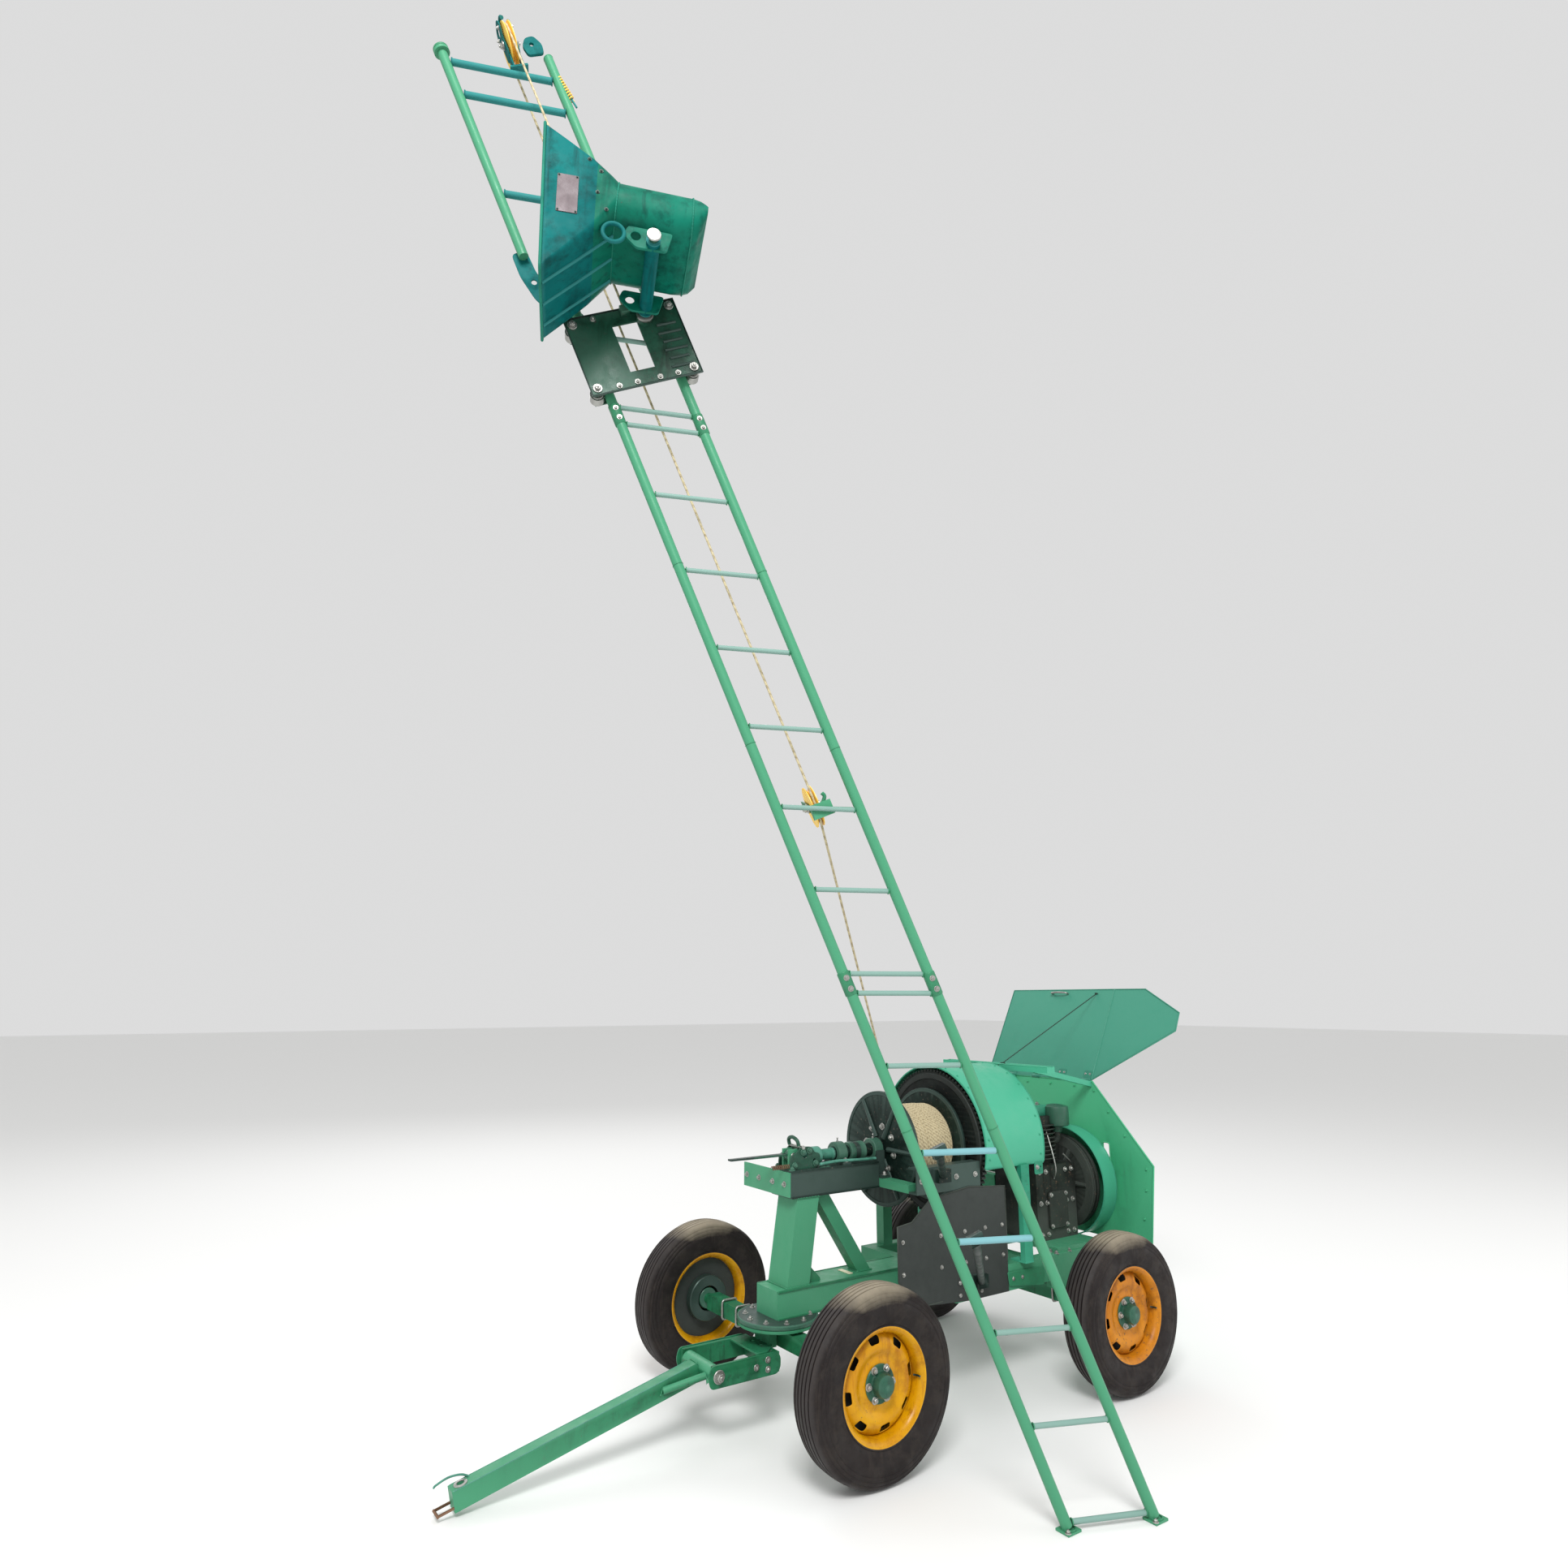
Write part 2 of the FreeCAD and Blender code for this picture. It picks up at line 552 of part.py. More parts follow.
def arm_frame(obj):
    obj.Placement = FreeCAD.Placement(mid_centre, FreeCAD.Placement(arm_turn).Rotation).multiply(obj.Placement)
    return obj


arm_length = (hang - mid_centre).Length
mid_parts = [arm_frame(box(5, 36, arm_length + 10, (s * 21.5 - 2.5, -18, -18))) for s in sides]
mid_parts.append(arm_frame(rod(12, 50, (-25, 0, 0), "X")))
mid_parts.append(lbox(90, 20, 60, (rope_p - 45, S.rung_radius + GAP, hang_b - 30)))
node("mid_bracket", join(*mid_parts))

# ---------- stays from the machine to the ladder ----------
def stay(start, rung, p):
    """A tube from a seat on the machine to a block behind a rung."""
    b = rung_heights[rung] - drop * p
    end = ladder_point(p, S.rung_radius + GAP + 15, b)
    return join(rod_between(17, start, end), lbox(60, 30, 40, (p - 30, S.rung_radius + GAP, b - 20)))


upper_stay = join(stay(V(700, -395, 1035), 4, 95), box(80, 50, 60, (660, -360 - GAP - 50, 1005)))
lower_stay = join(stay(V(930, -395, 530), 3, 98), box(80, 40, 60, (890, -guard_y - 4 - GAP - 40, 500)))
node("ladder_stays", group(upper_stay, lower_stay))

# ---------- carriage ----------
lateral = stile_r + S.roller_radius + GAP
roller_p = (-lateral, gauge + lateral)
roller_b = (carriage_top - S.roller_pitch, carriage_top)
plate_y = -60
rollers = {"upper_left": (0, 1), "upper_right": (1, 1), "lower_left": (0, 0), "lower_right": (1, 0)}
plate = box(roller_p[1] - roller_p[0] + 60, 8, S.roller_pitch + 60, (roller_p[0] - 30, plate_y, roller_b[0] - 30))
pieces = [cut(plate, box(110, 20, S.roller_pitch - 80, (gauge / 2 - 55, plate_y - 6, roller_b[0] + 40)))]
for name, (i, j) in rollers.items():
    p, b = roller_p[i], roller_b[j]
    half = S.roller_breadth / 2
    node("roller_" + name, cut(lrod("Sizes.roller_radius", "Sizes.roller_breadth", (p, half, b), V(0, -1, 0)),
                               lrod(10 + FIT, 80, (p, half + 20, b), V(0, -1, 0))))
    pieces.append(rod(10, 88, (p, 31, b), V(0, -1, 0)))
    pieces.append(box(56, 8, 40, (p - 14 if i == 0 else p - 42, 26, b - 20)))
pieces.append(box(40, 32, 30, (rope_p - 20, plate_y - 32, carriage_top - 5)))
pivot_p, pivot_b = 250.0, carriage_top - 40.0
pieces.append(rod(34, 24, (pivot_p, plate_y + 1, pivot_b), V(0, -1, 0)))
pin_out = S.bucket_depth + 60
pieces.append(rod("Sizes.pivot_radius", pin_out, (pivot_p, plate_y + 1, pivot_b), V(0, -1, 0)))
node("carriage_frame", on_ladder(join(*pieces)))

# ---------- bucket, shown tipped over its pivot ----------
pivot = ladder_point(pivot_p, 0, pivot_b)
bucket_frame = FreeCAD.Placement(FreeCAD.Matrix(across.x, behind.x, 0, pivot.x, across.y, behind.y, 0, pivot.y,
                                                0, 0, 1, pivot.z, 0, 0, 0, 1))
skin = 4.0
mouth_top, mouth_low = (-421, 433), (-408, -200)
profile = [mouth_top, (-133, 276), (131, 265), (185, 245), (207, 190), (197, 110), (160, 51), (-149, 61), mouth_low]


def bucket_solid(points, y0, y1):
    wire = Part.makePolygon([V(x, y0, z) for x, z in points] + [V(points[0][0], y0, points[0][1])])
    return Part.Face(wire).extrude(V(0, y1 - y0, 0))


near_y, far_y = plate_y - 40 - S.bucket_depth, plate_y - 40
outer = bucket_solid(profile, near_y, far_y)
face = Part.Face(Part.makePolygon([V(x, 0, z) for x, z in profile] + [V(profile[0][0], 0, profile[0][1])]))
inner_face = face.makeOffset2D(-skin)
inner = inner_face.extrude(V(0, S.bucket_depth - 2 * skin, 0))
inner.translate(V(0, near_y + skin, 0))
mouth = bucket_solid([(mouth_top[0] + 9, mouth_top[1] - 10), (mouth_top[0] - 60, mouth_top[1] - 10),
                      (mouth_low[0] - 60, mouth_low[1] + 10), (mouth_low[0] + 7, mouth_low[1] + 11)],
                     near_y + skin, far_y - skin)
shell = plain(outer.cut(inner).cut(mouth))
shell.Placement = bucket_frame
tube = lrod("Sizes.pivot_radius + 12", S.bucket_depth - 20, (pivot_p, far_y - 10, pivot_b), V(0, -1, 0))
webs = []
for y in (near_y + 30, far_y - 42):
    web = prism([(-50, 0), (50, 0), (70, 58), (-70, 60)], y, y + 12)
    web.Placement = bucket_frame
    webs.append(web)
bucket = cut(join(shell, tube, *webs),
             lrod("Sizes.pivot_radius + Sizes.running_gap", pin_out + 40, (pivot_p, plate_y + 20, pivot_b), V(0, -1, 0)))
node("bucket", bucket)

# ---------- checks, origin, export ----------
doc.recompute()
for obj in doc.Objects:
    assert "Invalid" not in obj.State and "Error" not in obj.State, (obj.Name, obj.Label, obj.State)
limits = FreeCAD.BoundBox()
for obj in nodes.values():
    limits.add(obj.Shape.BoundBox)
middle = V((limits.XMin + limits.XMax) / 2, (limits.YMin + limits.YMax) / 2, limits.ZMin)
for obj in nodes.values():
    obj.Placement = FreeCAD.Placement(middle * -1, FreeCAD.Rotation()).multiply(obj.Placement)
doc.recompute()
for name, obj in nodes.items():
    assert not obj.Shape.isNull() and obj.Shape.isValid(), name
    obj.Shape.exportStep("parts/%s.step" % name)
print("origin", tuple(middle), "nodes", len(nodes))
for title, point in (("pivot", pivot), ("head", head_world), ("mid", mid_centre), ("mid_axis", mid_axis),
                     ("square", square), ("behind", behind), ("up", up_stile), ("leave", leave)):
    print(title, [round(c, 3) for c in point])
placed = FreeCAD.BoundBox()
for obj in nodes.values():
    placed.add(obj.Shape.BoundBox)
print("limits", placed)
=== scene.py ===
import json
import math

import bmesh
import bpy
from mathutils import Matrix, Vector


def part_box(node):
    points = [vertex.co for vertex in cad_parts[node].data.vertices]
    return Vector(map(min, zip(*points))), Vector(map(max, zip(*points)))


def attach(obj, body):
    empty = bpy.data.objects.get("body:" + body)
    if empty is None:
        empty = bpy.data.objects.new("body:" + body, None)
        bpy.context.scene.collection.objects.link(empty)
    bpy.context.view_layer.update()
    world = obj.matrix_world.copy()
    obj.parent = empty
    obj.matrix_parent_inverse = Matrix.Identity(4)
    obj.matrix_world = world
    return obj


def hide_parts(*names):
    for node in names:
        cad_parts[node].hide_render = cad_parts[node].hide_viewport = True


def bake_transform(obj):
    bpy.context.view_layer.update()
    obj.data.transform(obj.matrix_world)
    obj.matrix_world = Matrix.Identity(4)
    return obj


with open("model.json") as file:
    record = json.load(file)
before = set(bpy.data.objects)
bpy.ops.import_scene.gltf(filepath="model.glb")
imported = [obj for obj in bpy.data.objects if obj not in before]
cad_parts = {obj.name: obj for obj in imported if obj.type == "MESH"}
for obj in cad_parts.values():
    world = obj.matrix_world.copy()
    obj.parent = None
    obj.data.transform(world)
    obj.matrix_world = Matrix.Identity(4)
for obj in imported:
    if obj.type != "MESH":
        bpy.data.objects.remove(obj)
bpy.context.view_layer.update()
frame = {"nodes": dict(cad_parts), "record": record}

MM = 0.001
TAU = 2 * math.pi
X, Y, Z = Vector((1, 0, 0)), Vector((0, 1, 0)), Vector((0, 0, 1))


def polar(radius, angle, x=0.0, y=0.0):
    """A flat point at an angle on a circle about (x, y)."""
    return x + radius * math.cos(angle), y + radius * math.sin(angle)


def middle(node):
    low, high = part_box(node)
    return (low + high) / 2


# The king pin's axis is the zero of every place given below, with z = 0 on the ground.
KING_PIN = middle("turntable_lower")


def place(x, y, z):
    """A point given in millimetres from the king pin's axis and the ground."""
    return Vector((KING_PIN.x + x * MM, KING_PIN.y + y * MM, z * MM))


# Ladder directions: square to the stiles, behind the ladder, and up the stiles.
SWING, LEAN = math.radians(21.84), math.radians(22.54)
ACROSS = Vector((math.cos(SWING), -math.sin(SWING), 0))
UP_STILE = ACROSS * -math.sin(LEAN) + Z * math.cos(LEAN)
SQUARE = ACROSS * math.cos(LEAN) + Z * math.sin(LEAN)
BEHIND = UP_STILE.cross(SQUARE)
FOOT = place(349, -1359, 0)
GAUGE = 350 * math.cos(LEAN)
DROP = math.tan(LEAN)


def on_ladder(p, y, b):
    """A point on the ladder: millimetres across from the left stile, behind it, and up it."""
    return FOOT + (SQUARE * p + BEHIND * y + UP_STILE * b) * MM


def on_rung(p, y, b):
    """A point on the level rung that meets the left stile at b."""
    return on_ladder(p, y, b - DROP * p)


def frame_at(point, x_way, y_way):
    """A placing matrix with its own X and Y directions."""
    return Matrix.Translation(point) @ Matrix((x_way, y_way, x_way.cross(y_way))).transposed().to_4x4()


def looped(path):
    """A ring of points with its first point again at the end."""
    return path + path[:1]


# ---------- camera, light and floor ----------
def make_camera():
    data = bpy.data.cameras.new("camera")
    data.lens, data.sensor_width = 22.12, 36
    cam = bpy.data.objects.new("camera", data)
    bpy.context.scene.collection.objects.link(cam)
    cam.location = place(-2742, -4059, 1874)
    cam.rotation_euler = (math.radians(90 + 12.54), 0, math.radians(-34.39))
    bpy.context.scene.camera = cam


def area_light(name, at, target, size, power):
    data = bpy.data.lights.new(name, "AREA")
    data.size, data.energy = size, power
    lamp = bpy.data.objects.new(name, data)
    lamp.location = at
    lamp.rotation_euler = (Vector(target) - Vector(at)).to_track_quat("-Z", "Y").to_euler()
    bpy.context.scene.collection.objects.link(lamp)


def make_studio():
    area_light("key", (-5, -6, 9), (0.3, 0, 1.5), 3.5, 900)
    area_light("fill", (7, -6, 4), (0, 0, 1.5), 7, 160)
    area_light("rim", (2, 8, 8), (0, 0, 2), 6, 260)
    world = bpy.data.worlds.new("world")
    world.use_nodes = True
    world.node_tree.nodes["Background"].inputs["Color"].default_value = (1, 1, 1, 1)
    world.node_tree.nodes["Background"].inputs["Strength"].default_value = 0.72
    bpy.context.scene.world = world
    bpy.context.scene.view_settings.view_transform = "Standard"
    mesh = bpy.data.meshes.new("floor")
    s = 60
    mesh.from_pydata([(-s, -s, 0), (s, -s, 0), (s, s, 0), (-s, s, 0)], [], [(0, 1, 2, 3)])
    floor = bpy.data.objects.new("floor", mesh)
    floor.location.z = -0.001
    bpy.context.scene.collection.objects.link(floor)
    mesh.materials.append(flat_material("floor", (0.86, 0.86, 0.85), 0.9))


# ---------- materials ----------
def flat_material(name, color, roughness):
    shader = Shader(name)
    shader.bsdf.inputs["Base Color"].default_value = (*color, 1)
    shader.bsdf.inputs["Roughness"].default_value = roughness
    return shader.material


class Shader:
    """A material's node tree, with a short call for each kind of node used here."""

    def __init__(self, name):
        self.material = bpy.data.materials.new(name)
        self.material.use_nodes = True
        self.nodes, self.link = self.material.node_tree.nodes, self.material.node_tree.links.new
        self.bsdf = self.nodes["Principled BSDF"]

    def add(self, kind, **settings):
        node = self.nodes.new("ShaderNode" + kind)
        for key, value in settings.items():
            setattr(node, key, value)
        return node

    def place(self, node):
        """The node works in object space."""
        self.link(self.add("TexCoord").outputs["Object"], node.inputs["Vector"])
        return node

    def feed(self, socket, value):
        """A number, a colour or another node's output goes into a socket."""
        if isinstance(value, tuple):
            socket.default_value = (*value, 1)
        elif isinstance(value, (int, float)):
            socket.default_value = value
        else:
            self.link(value, socket)

    def noise(self, scale, detail=6, roughness=0.6, stretch=None):
        """Noise in object space; stretch gives a scale for each axis."""
        tex = self.add("TexNoise")
        for key, value in (("Scale", scale), ("Detail", detail), ("Roughness", roughness)):
            tex.inputs[key].default_value = value
        if stretch:
            mapping = self.place(self.add("Mapping"))
            mapping.inputs["Scale"].default_value = stretch
            self.link(mapping.outputs["Vector"], tex.inputs["Vector"])
        else:
            self.place(tex)
        return tex.outputs["Fac"]

    def ramp(self, source, low, high, color_low=(0, 0, 0), color_high=(1, 1, 1)):
        node = self.add("ValToRGB")
        for stop, at_value, color in zip(node.color_ramp.elements, (low, high), (color_low, color_high)):
            stop.position, stop.color = at_value, (*color, 1)
        self.link(source, node.inputs["Fac"])
        return node.outputs["Color"]

    def mix(self, factor, a, b):
        node = self.add("Mix", data_type="RGBA")
        self.link(factor, node.inputs["Factor"])
        self.feed(node.inputs["A"], a)
        self.feed(node.inputs["B"], b)
        return node.outputs["Result"]

    def bump(self, source, strength, distance):
        node = self.add("Bump")
        node.inputs["Strength"].default_value = strength
        node.inputs["Distance"].default_value = distance
        self.link(source, node.inputs["Height"])
        self.link(node.outputs["Normal"], self.bsdf.inputs["Normal"])

    def math(self, operation, a, b):
        node = self.add("Math", operation=operation)
        self.feed(node.inputs[0], a)
        self.feed(node.inputs[1], b)
        return node.outputs["Value"]

    def height_mask(self, low, high, wobble):
        """0 to 1 as the object-space height goes from low to high, with a noisy edge."""
        height = self.place(self.add("SeparateXYZ")).outputs["Z"]
        height = self.math("ADD", height, self.math("MULTIPLY", self.noise(6), wobble))
        span = self.add("MapRange")
        span.inputs["From Min"].default_value, span.inputs["From Max"].default_value = low, high
        self.link(height, span.inputs["Value"])
        return span.outputs["Result"]


def worn_paint(name, base, faded, dirt, chip=(0.05, 0.05, 0.045), wear=0.56, rough=(0.3, 0.62), metallic=0.0,
               dust=None, gloss=0.25):
    """Old paint: faded patches, grime, worn edges and small chips; dust = (low, high, wobble, colour)."""
    shader = Shader(name)
    color = shader.mix(shader.ramp(shader.noise(3.1), 0.38, 0.66), base, faded)
    color = shader.mix(shader.ramp(shader.noise(9, 9, 0.72), 0.48, 0.74), color, dirt)
    streaks = shader.ramp(shader.noise(8, 5, 0.6, (3.5, 3.5, 0.35)), 0.56, 0.78)
    color = shader.mix(streaks, color, dirt)
    color = shader.mix(shader.ramp(shader.noise(55, 8, 0.75), wear + 0.04, wear + 0.07), color, chip)
    edges = shader.ramp(shader.add("NewGeometry").outputs["Pointiness"], 0.53, 0.6)
    color = shader.mix(edges, color, tuple(min(1, c * 1.25 + 0.03) for c in faded))
    if dust:
        low, high, wobble, dust_color = dust
        color = shader.mix(shader.height_mask(low, high, wobble), color, dust_color)
    sheen = shader.ramp(shader.noise(14), 0.35, 0.7, (rough[0],) * 3, (rough[1],) * 3)
    for socket, value in (("Base Color", color), ("Roughness", sheen), ("Metallic", metallic),
                          ("Specular IOR Level", gloss)):
        shader.feed(shader.bsdf.inputs[socket], value)
    shader.bump(shader.noise(70, 8, 0.7), 0.22, 0.002)
    return shader.material


def rope_material(name, color, dark, diameter):
    """Laid fibres: slanted bands across a noise of strands."""
    shader = Shader(name)
    wave = shader.place(shader.add("TexWave", bands_direction="DIAGONAL"))
    wave.inputs["Scale"].default_value = 0.25 / diameter
    wave.inputs["Distortion"].default_value = 1.5
    tone = shader.mix(shader.ramp(shader.noise(0.9 / diameter, 6, 0.7), 0.35, 0.7), color, dark)
    strands = shader.ramp(wave.outputs["Fac"], 0.2, 0.8)
    shader.feed(shader.bsdf.inputs["Base Color"], shader.mix(strands, tone, color))
    shader.feed(shader.bsdf.inputs["Roughness"], 0.9)
    shader.bump(wave.outputs["Fac"], 0.6, diameter * 0.3)
    return shader.material


DUST = (0.42, 0.36, 0.26)
MATERIALS = {
    "green": worn_paint("paint_green", (0.009, 0.125, 0.048), (0.026, 0.205, 0.100), (0.006, 0.042, 0.021)),
    "pale_green": worn_paint("paint_pale_green", (0.03, 0.17, 0.11), (0.08, 0.27, 0.20),
                             (0.014, 0.05, 0.035)),
    "band_green": worn_paint("paint_band", (0.010, 0.19, 0.105), (0.026, 0.28, 0.165), (0.006, 0.08, 0.05),
                             wear=0.6),
    "lid_green": worn_paint("paint_lid", (0.004, 0.12, 0.072), (0.015, 0.18, 0.115), (0.006, 0.065, 0.045),
                            wear=0.6),
    "wall_green": worn_paint("paint_wall", (0.016, 0.22, 0.095), (0.035, 0.31, 0.15), (0.012, 0.10, 0.05),
                             wear=0.6),
    "teal": worn_paint("paint_teal", (0.0, 0.10, 0.10), (0.002, 0.145, 0.14), (0.002, 0.035, 0.035),
                       wear=0.62, rough=(0.5, 0.75), gloss=0.08),
    "bucket_green": worn_paint("paint_bucket", (0.0, 0.12, 0.075), (0.003, 0.18, 0.12), (0.0, 0.045, 0.034),
                               wear=0.62, rough=(0.4, 0.7), gloss=0.12),
    "rung": worn_paint("rung_paint", (0.055, 0.15, 0.115), (0.14, 0.25, 0.215), (0.03, 0.075, 0.055),
                       wear=0.6),
    "pale_rung": worn_paint("pale_rung_paint", (0.06, 0.20, 0.22), (0.13, 0.31, 0.34), (0.03, 0.11, 0.10)),
    "yellow": worn_paint("paint_yellow", (0.54, 0.23, 0.001), (0.64, 0.33, 0.002), (0.28, 0.08, 0.003),
                         wear=0.60, rough=(0.2, 0.45)),
    "orange": worn_paint("paint_orange", (0.78, 0.33, 0.02), (0.85, 0.48, 0.06), (0.3, 0.11, 0.02),
                         wear=0.62),
    "rim_orange": worn_paint("paint_rim_orange", (0.46, 0.15, 0.004), (0.60, 0.23, 0.008),
                             (0.2, 0.055, 0.005)),
    "dark": worn_paint("oily_steel", (0.007, 0.018, 0.014), (0.015, 0.040, 0.031), (0.004, 0.006, 0.005),
                       chip=(0.12, 0.1, 0.08), rough=(0.3, 0.55), metallic=0.3),
    "cast": worn_paint("cast_iron", (0.014, 0.02, 0.017), (0.035, 0.045, 0.036), (0.008, 0.008, 0.007),
                       chip=(0.14, 0.09, 0.06), rough=(0.45, 0.75), metallic=0.4),
    "soot": worn_paint("sooty_steel", (0.005, 0.007, 0.006), (0.011, 0.017, 0.014), (0.003, 0.003, 0.003),
                       chip=(0.06, 0.045, 0.03), rough=(0.45, 0.75), metallic=0.2),
    "hub": worn_paint("hub_paint", (0.010, 0.06, 0.035), (0.03, 0.11, 0.07), (0.008, 0.015, 0.01),
                      rough=(0.25, 0.5)),
    "steel": worn_paint("worn_steel", (0.22, 0.23, 0.22), (0.34, 0.34, 0.32), (0.08, 0.07, 0.05),
                        chip=(0.2, 0.12, 0.07), rough=(0.3, 0.55), metallic=0.9),
    "rust": worn_paint("rusty_steel", (0.09, 0.045, 0.022), (0.16, 0.08, 0.04), (0.03, 0.018, 0.012),
                       chip=(0.2, 0.12, 0.07), rough=(0.6, 0.85), metallic=0.3),
    "tyre": worn_paint("tyre_rubber", (0.010, 0.007, 0.007), (0.021, 0.016, 0.015), (0.036, 0.028, 0.023),
                       chip=(0.010, 0.009, 0.009), rough=(0.5, 0.85), dust=(0.355, 0.47, 0.12, DUST)),
    "plate": worn_paint("plain_plate", (0.045, 0.024, 0.03), (0.09, 0.055, 0.065), (0.025, 0.018, 0.02),
                        rough=(0.3, 0.5)),
    "cream": worn_paint("cream_paint", (0.62, 0.58, 0.38), (0.72, 0.68, 0.5), (0.35, 0.3, 0.18)),
    "rope": rope_material("rope_fibre", (0.56, 0.48, 0.30), (0.22, 0.16, 0.09), 0.01),
    "string": rope_material("string_fibre", (0.03, 0.07, 0.05), (0.01, 0.02, 0.015), 0.005),
}
LOOKS = {
    "green_paint": "green", "bucket_paint": "teal", "yellow_paint": "yellow", "orange_paint": "orange",
    "dark_steel": "dark", "tyre_rubber": "tyre", "bare_steel": "steel", "rope": "rope", "engine_cast": "cast",
}
OWN_LOOKS = {
    "gear_guard": "band_green", "hood": "lid_green", "rear_wall": "wall_green", "ladder_rungs": "rung",
    "front_plate": "green", "flywheel_guard": "band_green", "hood_string": "string",
    "roof_frame": "band_green", "lower_guard": "soot", "winch_drum": "dark", "ladder_stays": "dark",
    "carriage_frame": "hub", "chassis_spine": "green", "tow_loop": "rust", "fuel_tank": "wall_green",
    "head_bars": "teal", "guide_plate": "teal",
}


def dress_frame():
    """Give each CAD node the look of its material slot, or its own where it has one."""
    for entry in frame["record"]["subparts"]:
        name = entry["node"]
        node = frame["nodes"][name]
        node.data.materials.clear()
        node.data.materials.append(MATERIALS[OWN_LOOKS.get(name, LOOKS[entry["material_slot"]])])


# ---------- building helpers ----------
def turn_to(axis, side=None):
    """A rotation that takes +Z to an axis and +X near 'side'."""
    axis = Vector(axis).normalized()
    side = Vector(side) if side is not None else (X if abs(axis.x) < 0.8 else Y)
    side = (side - axis * side.dot(axis)).normalized()
    return Matrix((side, axis.cross(side), axis)).transposed().to_4x4()


def at(point, axis=Z, side=None):
    """A placing matrix: a point in the row frame, +Z along an axis."""
    return Matrix.Translation(point) @ turn_to(axis, side)


def finish_piece(obj, look, body="chassis", replaced=(), smooth=35):
    """Give a piece its look, smooth its faces, and say which body it rides on and what it replaces."""
    obj.data.materials.clear()
    obj.data.materials.append(MATERIALS[look])
    if smooth:
        for face in obj.data.polygons:
            face.use_smooth = True
        obj.data.set_sharp_from_angle(angle=math.radians(smooth))
    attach(obj, body)
    if replaced:
        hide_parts(*replaced)
    return obj


def mesh_object(name, bm, matrix=Matrix()):
    mesh = bpy.data.meshes.new(name)
    bmesh.ops.recalc_face_normals(bm, faces=bm.faces)
    bm.to_mesh(mesh)
    bm.free()
    obj = bpy.data.objects.new(name, mesh)
    bpy.context.scene.collection.objects.link(obj)
    obj.matrix_world = matrix
    return obj


def lathe_into(bm, profile, matrix=Matrix(), segments=48, closed=True):
    """Turn (radius, height) points in mm about +Z; returns the rings of vertices."""
    rings = []
    for radius, height in profile:
        ring = []
        for i in range(segments):
            ring.append(bm.verts.new(matrix @ Vector((*polar(radius * MM, TAU * i / segments), height * MM))))
        rings.append(ring)
    pairs = list(zip(rings, rings[1:])) + ([(rings[-1], rings[0])] if closed else [])
    faces = []
    for low, high in pairs:
        faces.append([bm.faces.new((low[i], low[(i + 1) % segments], high[(i + 1) % segments], high[i]))
                      for i in range(segments)])
    return rings, faces


def lathe(name, profile, matrix, look, body="chassis", segments=48, closed=True, replaced=(), smooth=35):
    bm = bmesh.new()
    lathe_into(bm, profile, Matrix(), segments, closed)
    return finish_piece(mesh_object(name, bm, matrix), look, body, replaced, smooth)


def extrude_into(bm, outline, z0, z1, matrix=Matrix(), edge=0.0):
    """A closed outline in mm, extruded from z0 to z1, with an edge chamfer."""
    count = len(outline)
    centre = Vector((sum(p[0] for p in outline) / count, sum(p[1] for p in outline) / count))
    size = max((Vector(p) - centre).length for p in outline)
    shrink = 1 - edge / size
    levels = [(z0, shrink), (z0 + edge, 1), (z1 - edge, 1), (z1, shrink)] if edge else [(z0, 1), (z1, 1)]
    rings = []
    for z, k in levels:
        rings.append([bm.verts.new(matrix @ Vector(((centre.x + (x - centre.x) * k) * MM,
                                                    (centre.y + (y - centre.y) * k) * MM, z * MM)))
                      for x, y in outline])
    for low, high in zip(rings, rings[1:]):
        for i in range(count):
            j = (i + 1) % count
            bm.faces.new((low[i], low[j], high[j], high[i]))
    bm.faces.new(rings[0][::-1])
    bm.faces.new(rings[-1])


def extrusion(name, outline, z0, z1, matrix, look, body="chassis", edge=1.0, replaced=()):
    bm = bmesh.new()
    extrude_into(bm, outline, z0, z1, Matrix(), edge)
    return finish_piece(mesh_object(name, bm, matrix), look, body, replaced)


def round_outline(points, radius, steps=4):
    """A closed outline with its corners rounded."""
    out = []
    count = len(points)
    for i, point in enumerate(points):
        here, before, after = Vector(point), Vector(points[i - 1]), Vector(points[(i + 1) % count])
        a, b = (before - here), (after - here)
        reach = min(radius, a.length * 0.45, b.length * 0.45)
        start, end = here + a.normalized() * reach, here + b.normalized() * reach
        for k in range(steps + 1):
            t = k / steps
            p = start * (1 - t) ** 2 + here * 2 * t * (1 - t) + end * t ** 2
            out.append((p.x, p.y))
    return out


def slab(w, h, radius=4, steps=3):
    """A rounded rectangle centred on zero."""
    return round_outline([(-w / 2, -h / 2), (w / 2, -h / 2), (w / 2, h / 2), (-w / 2, h / 2)], radius, steps)


def circle(radius, count=32, cx=0.0, cy=0.0):
    """A round outline, also used for holes and bolt circles."""
    return [polar(radius, TAU * i / count, cx, cy) for i in range(count)]


